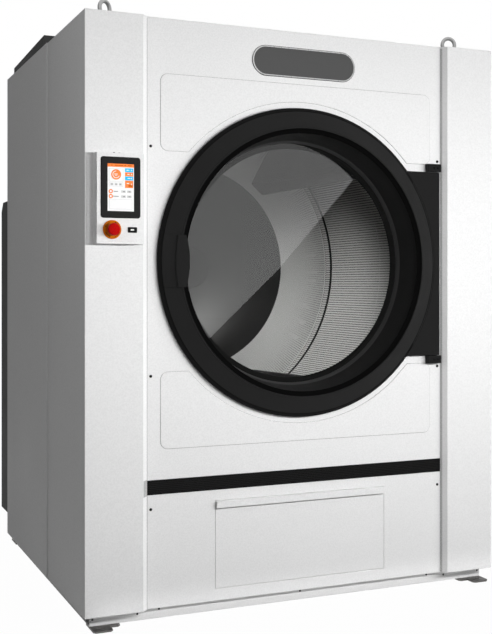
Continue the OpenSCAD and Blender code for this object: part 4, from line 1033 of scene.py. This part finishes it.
class DRYER_OT_controls(bpy.types.Operator):
    """Finishes the control box: screen with its picture, emergency stop and socket"""

    bl_idname = "dryer.controls"
    bl_label = "Finish the control box"

    def execute(self, context):
        edge = context.scene.dryer_cabinet.sheet_edge
        dress("control_box", "white_powder_coat", edge)
        dress("control_box_cover", "white_powder_coat", edge)
        dress("touch_bezel", "screen_frame", 0.6 * MM)
        dress("touch_screen", "screen_white")
        dress("usb_socket", "black_trim", 0.4 * MM)
        dress("estop_collar", "stop_yellow", 0.3 * MM)
        dress("estop_cap", "stop_red", 0.5 * MM)
        coat("estop_stem", "black_metal")
        self.picture()
        self.stop_marks()
        self.tongue()
        self.frame_gasket()
        self.side_slots()
        return {"FINISHED"}

    def picture(self):
        """A generic picture on the screen: a bar, a dial, tiles, and two rows with rings.

        Places and sizes are shares of the screen's width and height, from its top left corner.
        """
        lows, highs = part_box("touch_screen")
        wide, tall = highs.x - lows.x, highs.z - lows.z
        left, top, face = lows.x, highs.z, lows.y
        layer = 0.12 * MM
        inks = {name: Form() for name in ("orange", "rust", "blue", "grey", "ink", "white")}

        def tile(ink, x, z, w, h, level=1, radius=0.6):
            outline = rounded_box(left + x * wide, top - z * tall, w * wide, h * tall, radius * MM, 3)
            inks[ink].slab(outline, face - level * layer, face)

        def ring(ink, x, z, outer, inner, level=1, start=0.0, sweep=360.0):
            section = band(outer * wide, inner * wide, face - level * layer, face)
            inks[ink].hoop(left + x * wide, top - z * tall, section, start, sweep, 32)

        tile("orange", 0.5, 0.035, 1.0, 0.07, 1, 0.1)
        for k, w in enumerate((0.05, 0.12, 0.2, 0.08, 0.16)):
            tile("rust", 0.16 + 0.17 * k, 0.034, w, 0.022, 2, 0.3)
        tile("grey", 0.32, 0.24, 0.54, 0.27, 1, 1.2)
        tile("white", 0.32, 0.24, 0.52, 0.26, 2, 1.1)
        dial = disc(left + 0.32 * wide, top - 0.228 * tall, 0.19 * wide)
        inks["orange"].slab(dial, face - 3 * layer, face)
        ring("white", 0.32, 0.228, 0.135, 0.112, 4, 90, 250)
        tile("white", 0.32, 0.22, 0.13, 0.016, 4, 0.2)
        tile("white", 0.32, 0.25, 0.08, 0.012, 4, 0.2)
        for k, (ink, h) in enumerate((("blue", 1), ("orange", 1), ("blue", 1), ("orange", 1.9))):
            z = 0.13 + 0.086 * k + 0.043 * (h - 1)
            tile(ink, 0.815, z, 0.31, 0.082 * h, 1, 0.3)
            tile("white", 0.77 + 0.02 * (k % 3), z - 0.02 * (h - 1), 0.1 - 0.015 * (k % 2), 0.018, 2, 0.2)
            tile("white", 0.905, z, 0.03, 0.03, 2, 0.4)
        tile("rust", 0.87, 0.46, 0.16, 0.05, 2, 0.3)
        tile("grey", 0.32, 0.435, 0.52, 0.09, 1, 0.8)
        tile("white", 0.32, 0.435, 0.5, 0.08, 2, 0.8)
        for k in range(3):
            tile("grey", 0.16 + 0.16 * k, 0.435, 0.11, 0.05, 3, 0.4)
            tile("ink", 0.16 + 0.16 * k, 0.435, 0.05, 0.012, 4, 0.2)
        for k in range(2):
            z = 0.585 + 0.105 * k
            ring("orange", 0.12, z, 0.08, 0.04)
            tile("ink", 0.31, z, 0.17 + 0.04 * k, 0.014, 1, 0.2)
            tile("grey", 0.6, z, 0.17, 0.05, 1, 0.4)
            tile("ink", 0.62, z, 0.05, 0.02, 2, 0.3)
            tile("grey", 0.82, z, 0.16, 0.05, 1, 0.4)
            tile("ink", 0.83, z, 0.07, 0.012, 2, 0.2)
        tile("grey", 0.5, 0.855, 0.87, 0.21, 1, 0.8)
        tile("white", 0.5, 0.855, 0.855, 0.2, 2, 0.8)
        for ink, form in inks.items():
            form.piece("screen_marks_" + ink, "cabinet", "screen_" + ink, "screen")

    def stop_marks(self):
        """Turning arrows round the emergency stop: short dark arcs with arrowheads."""
        lows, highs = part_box("estop_collar")
        centre = (lows + highs) / 2
        radius = (highs.x - lows.x) / 2
        front, back = lows.y - 0.15 * MM, lows.y + 0.1 * MM
        arrows, first, arc, head = 4, 20, 42, 12
        form = Form()
        for k in range(arrows):
            start = first + 360 / arrows * k
            form.hoop(centre.x, centre.z, band(0.83 * radius, 0.78 * radius, front, back), start, arc, 8)
            root, tip = math.radians(start + arc), math.radians(start + arc + head)
            form.slab([
                polar(centre.x, centre.z, share * radius, angle)
                for share, angle in ((0.9, root), (0.805, tip), (0.71, root))
            ], front, back)
        form.piece("stop_arrows", "cabinet", "black_trim", "black_trim")

    def tongue(self):
        """The pale tongue in the socket's mouth, in the screen's glowing white: painted light."""
        centre, front = middle("usb_socket"), low("usb_socket").y
        outline = rounded_box(centre.x, centre.z + 0.3 * MM, 11 * MM, 4.4 * MM, 0.4 * MM, 2)
        form = Form()
        form.slab(outline, front + 0.3 * MM, front + 9 * MM)
        # The tongue glows faintly though it is no lamp: painted light.
        form.piece("socket_tongue", "cabinet", "screen_white", "dark_grey_moulding")

    def frame_gasket(self):
        """The black gasket that shows as a thin line round the screen's frame."""
        lows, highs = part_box("touch_bezel")
        centre, size = (lows + highs) / 2, highs - lows
        reach, corner, skin = 2.2 * MM, 9 * MM, 0.8 * MM
        face = low("control_box_cover").y
        outline = rounded_box(centre.x, centre.z, size.x + 2 * reach, size.z + 2 * reach, corner)
        form = Form()
        form.slab(outline, face - skin, face)
        form.piece("frame_gasket", "cabinet", "black_trim", "rubber")

    def side_slots(self):
        """Two black inserts in the cover's left edge that paint the shade inside its slots, and the small
        screw on its top.
        """
        lows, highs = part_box("control_box_cover")
        size = highs - lows
        front, back = lows.y + 0.25 * size.y, lows.y + 0.7 * size.y
        # Painted shade in the slots.
        form = Form()
        for above, below in ((0.1, 0.555), (0.66, 0.9)):
            outline = rectangle(
                lows.x - 0.25 * MM, lows.x + MM, highs.z - below * size.z, highs.z - above * size.z)
            form.slab(outline, front, back)
        form.piece("cover_inserts", "cabinet", "black_metal", "black_trim")
        seat = Vector((-0.7, (front + back) / 2, highs.z))
        fasten("cover_screw", [(seat, UP)], 3.5 * MM, "black_metal", "cabinet", "black_metal")


class DRYER_OT_drawer(bpy.types.Operator):
    """Finishes the lint drawer and its plenum"""

    bl_idname = "dryer.drawer"
    bl_label = "Finish the lint drawer"

    def execute(self, context):
        dress("drawer_front", "white_powder_coat", context.scene.dryer_cabinet.sheet_edge)
        for node in ("drawer_tray", "lint_plenum"):
            coat(node, "galvanised_sheet")
        coat("lint_screen", "stainless")
        self.gap_liner()
        return {"FINISHED"}

    def gap_liner(self):
        """A white liner in the opening that leaves a fine gap round the drawer's front."""
        lows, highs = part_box("drawer_front")
        fine = 1.2 * MM
        wide = DRAWER_GAP - fine
        left, right = lows.x - DRAWER_GAP, highs.x + DRAWER_GAP
        foot, top = lows.z - DRAWER_GAP, lows.z + DRAWER_HEIGHT + DRAWER_GAP
        form = Form()
        for outline in (
            rectangle(left, left + wide, foot, top), rectangle(right - wide, right, foot, top),
            rectangle(left + wide, right - wide, foot, foot + wide),
            rectangle(left + wide, right - wide, top - wide, top),
        ):
            form.slab(outline, PANEL_FACE + 0.5 * MM, PANEL_FACE + 2.5 * MM)
        form.piece("drawer_gap_liner", "cabinet", "white_powder_coat", "white_powder_coat")


class DRYER_OT_rear(bpy.types.Operator):
    """Finishes the heater, the rear housing, the duct and the fan"""

    bl_idname = "dryer.rear"
    bl_label = "Finish the rear and the heater"

    def execute(self, context):
        edge = context.scene.dryer_cabinet.sheet_edge
        # The housing's left side takes a near-black copy of its coat and the rest a lighter one: painted
        # shade and painted light.
        side = low("heater_housing").x + MM
        dress("heater_housing", "heater_shaded_side_coat", part="heater_housing_side",
              keep=lambda place: place.x < side)
        dress("heater_housing", "heater_lit_coat", edge, part="heater_housing_rest",
              keep=lambda place: place.x >= side)
        dress("rear_housing", "housing_coat", edge)
        for node in ("rear_panel", "exhaust_duct"):
            dress(node, "galvanised_sheet", 0.4 * MM)
        for node in ("heater_coil", "fan_scroll", "fan_impeller"):
            dress(node, "galvanised_sheet")
        return {"FINISHED"}


class DRYER_OT_drive(bpy.types.Operator):
    """Finishes the motors, the belt drive and the bearings"""

    bl_idname = "dryer.drive"
    bl_label = "Finish the drive"

    def execute(self, context):
        for node in ("gear_motor", "fan_motor"):
            dress(node, "motor_grey", MM)
        for node in ("motor_pulley", "drum_pulley", "bearing_housing"):
            dress(node, "cast_iron")
        dress("drive_belts", "rubber")
        dress("shaft_bearings", "turned_steel")
        return {"FINISHED"}


class DRYER_OT_studio(bpy.types.Operator):
    """Makes the pale floor, the lamps, the flags and the camera"""

    bl_idname = "dryer.studio"
    bl_label = "Build the studio"

    def execute(self, context):
        studio = context.scene.dryer_studio
        context.scene.view_settings.view_transform = "Standard"
        self.camera(context, studio)
        reach = 30
        corners = [(x, y, 0) for x, y in rectangle(-reach, reach, -reach, reach)]
        self.card("studio_floor", corners, "studio_floor")
        self.sky(context, studio)
        self.lamps(studio)
        self.flags()
        return {"FINISHED"}

    def camera(self, context, studio):
        lens = bpy.data.cameras.new("Camera")
        lens.lens = studio.lens
        lens.sensor_width = 36
        lens.shift_y = -studio.frame_drop
        camera = new_object("Camera", lens)
        camera.location = studio.camera_place
        camera.rotation_euler = (math.pi / 2, 0, -studio.camera_turn)
        context.scene.camera = camera

    def sky(self, context, studio):
        """White for what the background shows in, and the ambient level for the light it gives."""
        world = bpy.data.worlds.new("studio_sky")
        context.scene.world = world
        finish = Finish(world)
        strength = seen_ray(finish) * (1 - studio.ambient) + studio.ambient
        back = finish.node("ShaderNodeBackground", None, {"Color": shade(1.0), "Strength": strength})
        finish.node("ShaderNodeOutputWorld", None, {"Surface": back})

    def lamps(self, studio):
        """Narrow lamps in a row that look to the left, and single ones round the dryer and in its drum."""
        left, right, near, height = -0.58, 5.0, -2.66, 1.42
        step = (right - left) / studio.key_lamps
        way = Vector((-0.634, 0.755, -0.167))
        for k in range(studio.key_lamps):
            place = Vector((left + (k + 0.5) * step, near, height))
            self.lamp("key_%02d" % k, place, place + way, (step * 0.8, 0.13),
                      studio.key_power / studio.key_lamps, 159)
        self.lamp("fill_left", (-2.0, -1.7, 2.0), (-0.79, -0.5, 1.5), (0.8, 0.8), studio.fill_power)
        self.lamp("back_soft", (3.2, 4.6, 3.6), (0.0, 0.6, 1.1), (2.4, 2.4), studio.back_power)
        self.lamp("drum_soft", (-0.25, -0.35, 1.45), (0.45, 0.15, 0.85), (0.2, 0.2), studio.drum_power, 72)
        self.lamp("disc_soft", (-0.15, 0.1, 0.8), (0.07, 0.37, 0.96), (0.08, 0.08), studio.disc_power, 42)
        self.lamp("skirt_wash", (0.1, -1.7, 0.1), (0.1, PILLAR_FACE, 0.05), (1.7, 0.06),
                  studio.skirt_power, 8)

    def lamp(self, name, place, target, size, power, spread=180):
        """A rectangular lamp at a place that looks at a target. Its spread is in degrees."""
        light = bpy.data.lights.new(name, "AREA")
        light.shape = "RECTANGLE"
        light.size, light.size_y = size
        light.energy = power
        light.spread = math.radians(spread)
        lamp = new_object(name, light)
        lamp.location = place
        lamp.rotation_euler = (Vector(target) - Vector(place)).to_track_quat("-Z", "Y").to_euler()
        lamp.visible_camera = False
        lamp.visible_glossy = False
        lamp.visible_transmission = False

    def flags(self):
        """Black flags that only shines and glass see, as in a product studio."""
        front_y, left_x = -4.3, -3.0
        skyline = ((0.0, -0.3), (0.28, -0.02), (1.156, 0.786), (1.64, 1.228), (2.305, 1.953), (3.5, 3.256),
                   (6.5, 3.256), (6.5, -0.3))
        left_edge = rectangle(-1.0, 7.0, 0, 4)
        self.card("front_flag", [(x, front_y, z) for x, z in skyline], "flag_black", only_in_shines=True)
        self.card("left_flag", [(left_x, y, z) for y, z in left_edge], "flag_black", only_in_shines=True)

    def card(self, name, corners, finish, only_in_shines=False):
        mesh = bpy.data.meshes.new(name)
        mesh.from_pydata(corners, [], [tuple(range(len(corners)))])
        mesh.materials.append(material(finish))
        card = new_object(name, mesh)
        if only_in_shines:
            card.visible_camera = False
            card.visible_diffuse = False
            card.visible_shadow = False


class DRYER_PT_panel(bpy.types.Panel):
    """The dryer's sizes and steps in the 3D view's sidebar"""

    bl_idname = "DRYER_PT_panel"
    bl_label = "Industrial tumble dryer"
    bl_space_type = "VIEW_3D"
    bl_region_type = "UI"
    bl_category = "Dryer"

    def draw(self, context):
        for group in (context.scene.dryer_cabinet, context.scene.dryer_drum, context.scene.dryer_studio):
            box = self.layout.box()
            for name in group.__annotations__:
                box.prop(group, name)
        for operator in STEPS:
            self.layout.operator(operator.bl_idname)


STEPS = (
    DRYER_OT_cabinet, DRYER_OT_door, DRYER_OT_drum, DRYER_OT_controls, DRYER_OT_drawer, DRYER_OT_rear,
    DRYER_OT_drive, DRYER_OT_studio,
)
CLASSES = (DryerCabinet, DryerDrum, DryerStudio, *STEPS, DRYER_PT_panel)


def register():
    for made in CLASSES:
        bpy.utils.register_class(made)
    bpy.types.Scene.dryer_cabinet = PointerProperty(type=DryerCabinet)
    bpy.types.Scene.dryer_drum = PointerProperty(type=DryerDrum)
    bpy.types.Scene.dryer_studio = PointerProperty(type=DryerStudio)


def unregister():
    del bpy.types.Scene.dryer_studio
    del bpy.types.Scene.dryer_drum
    del bpy.types.Scene.dryer_cabinet
    for made in reversed(CLASSES):
        bpy.utils.unregister_class(made)


def main():
    register()
    bpy.ops.dryer.cabinet()
    bpy.ops.dryer.door()
    bpy.ops.dryer.drum()
    bpy.ops.dryer.controls()
    bpy.ops.dryer.drawer()
    bpy.ops.dryer.rear()
    bpy.ops.dryer.drive()
    bpy.ops.dryer.studio()
    bpy.context.view_layer.update()


if __name__ == "__main__":
    main()
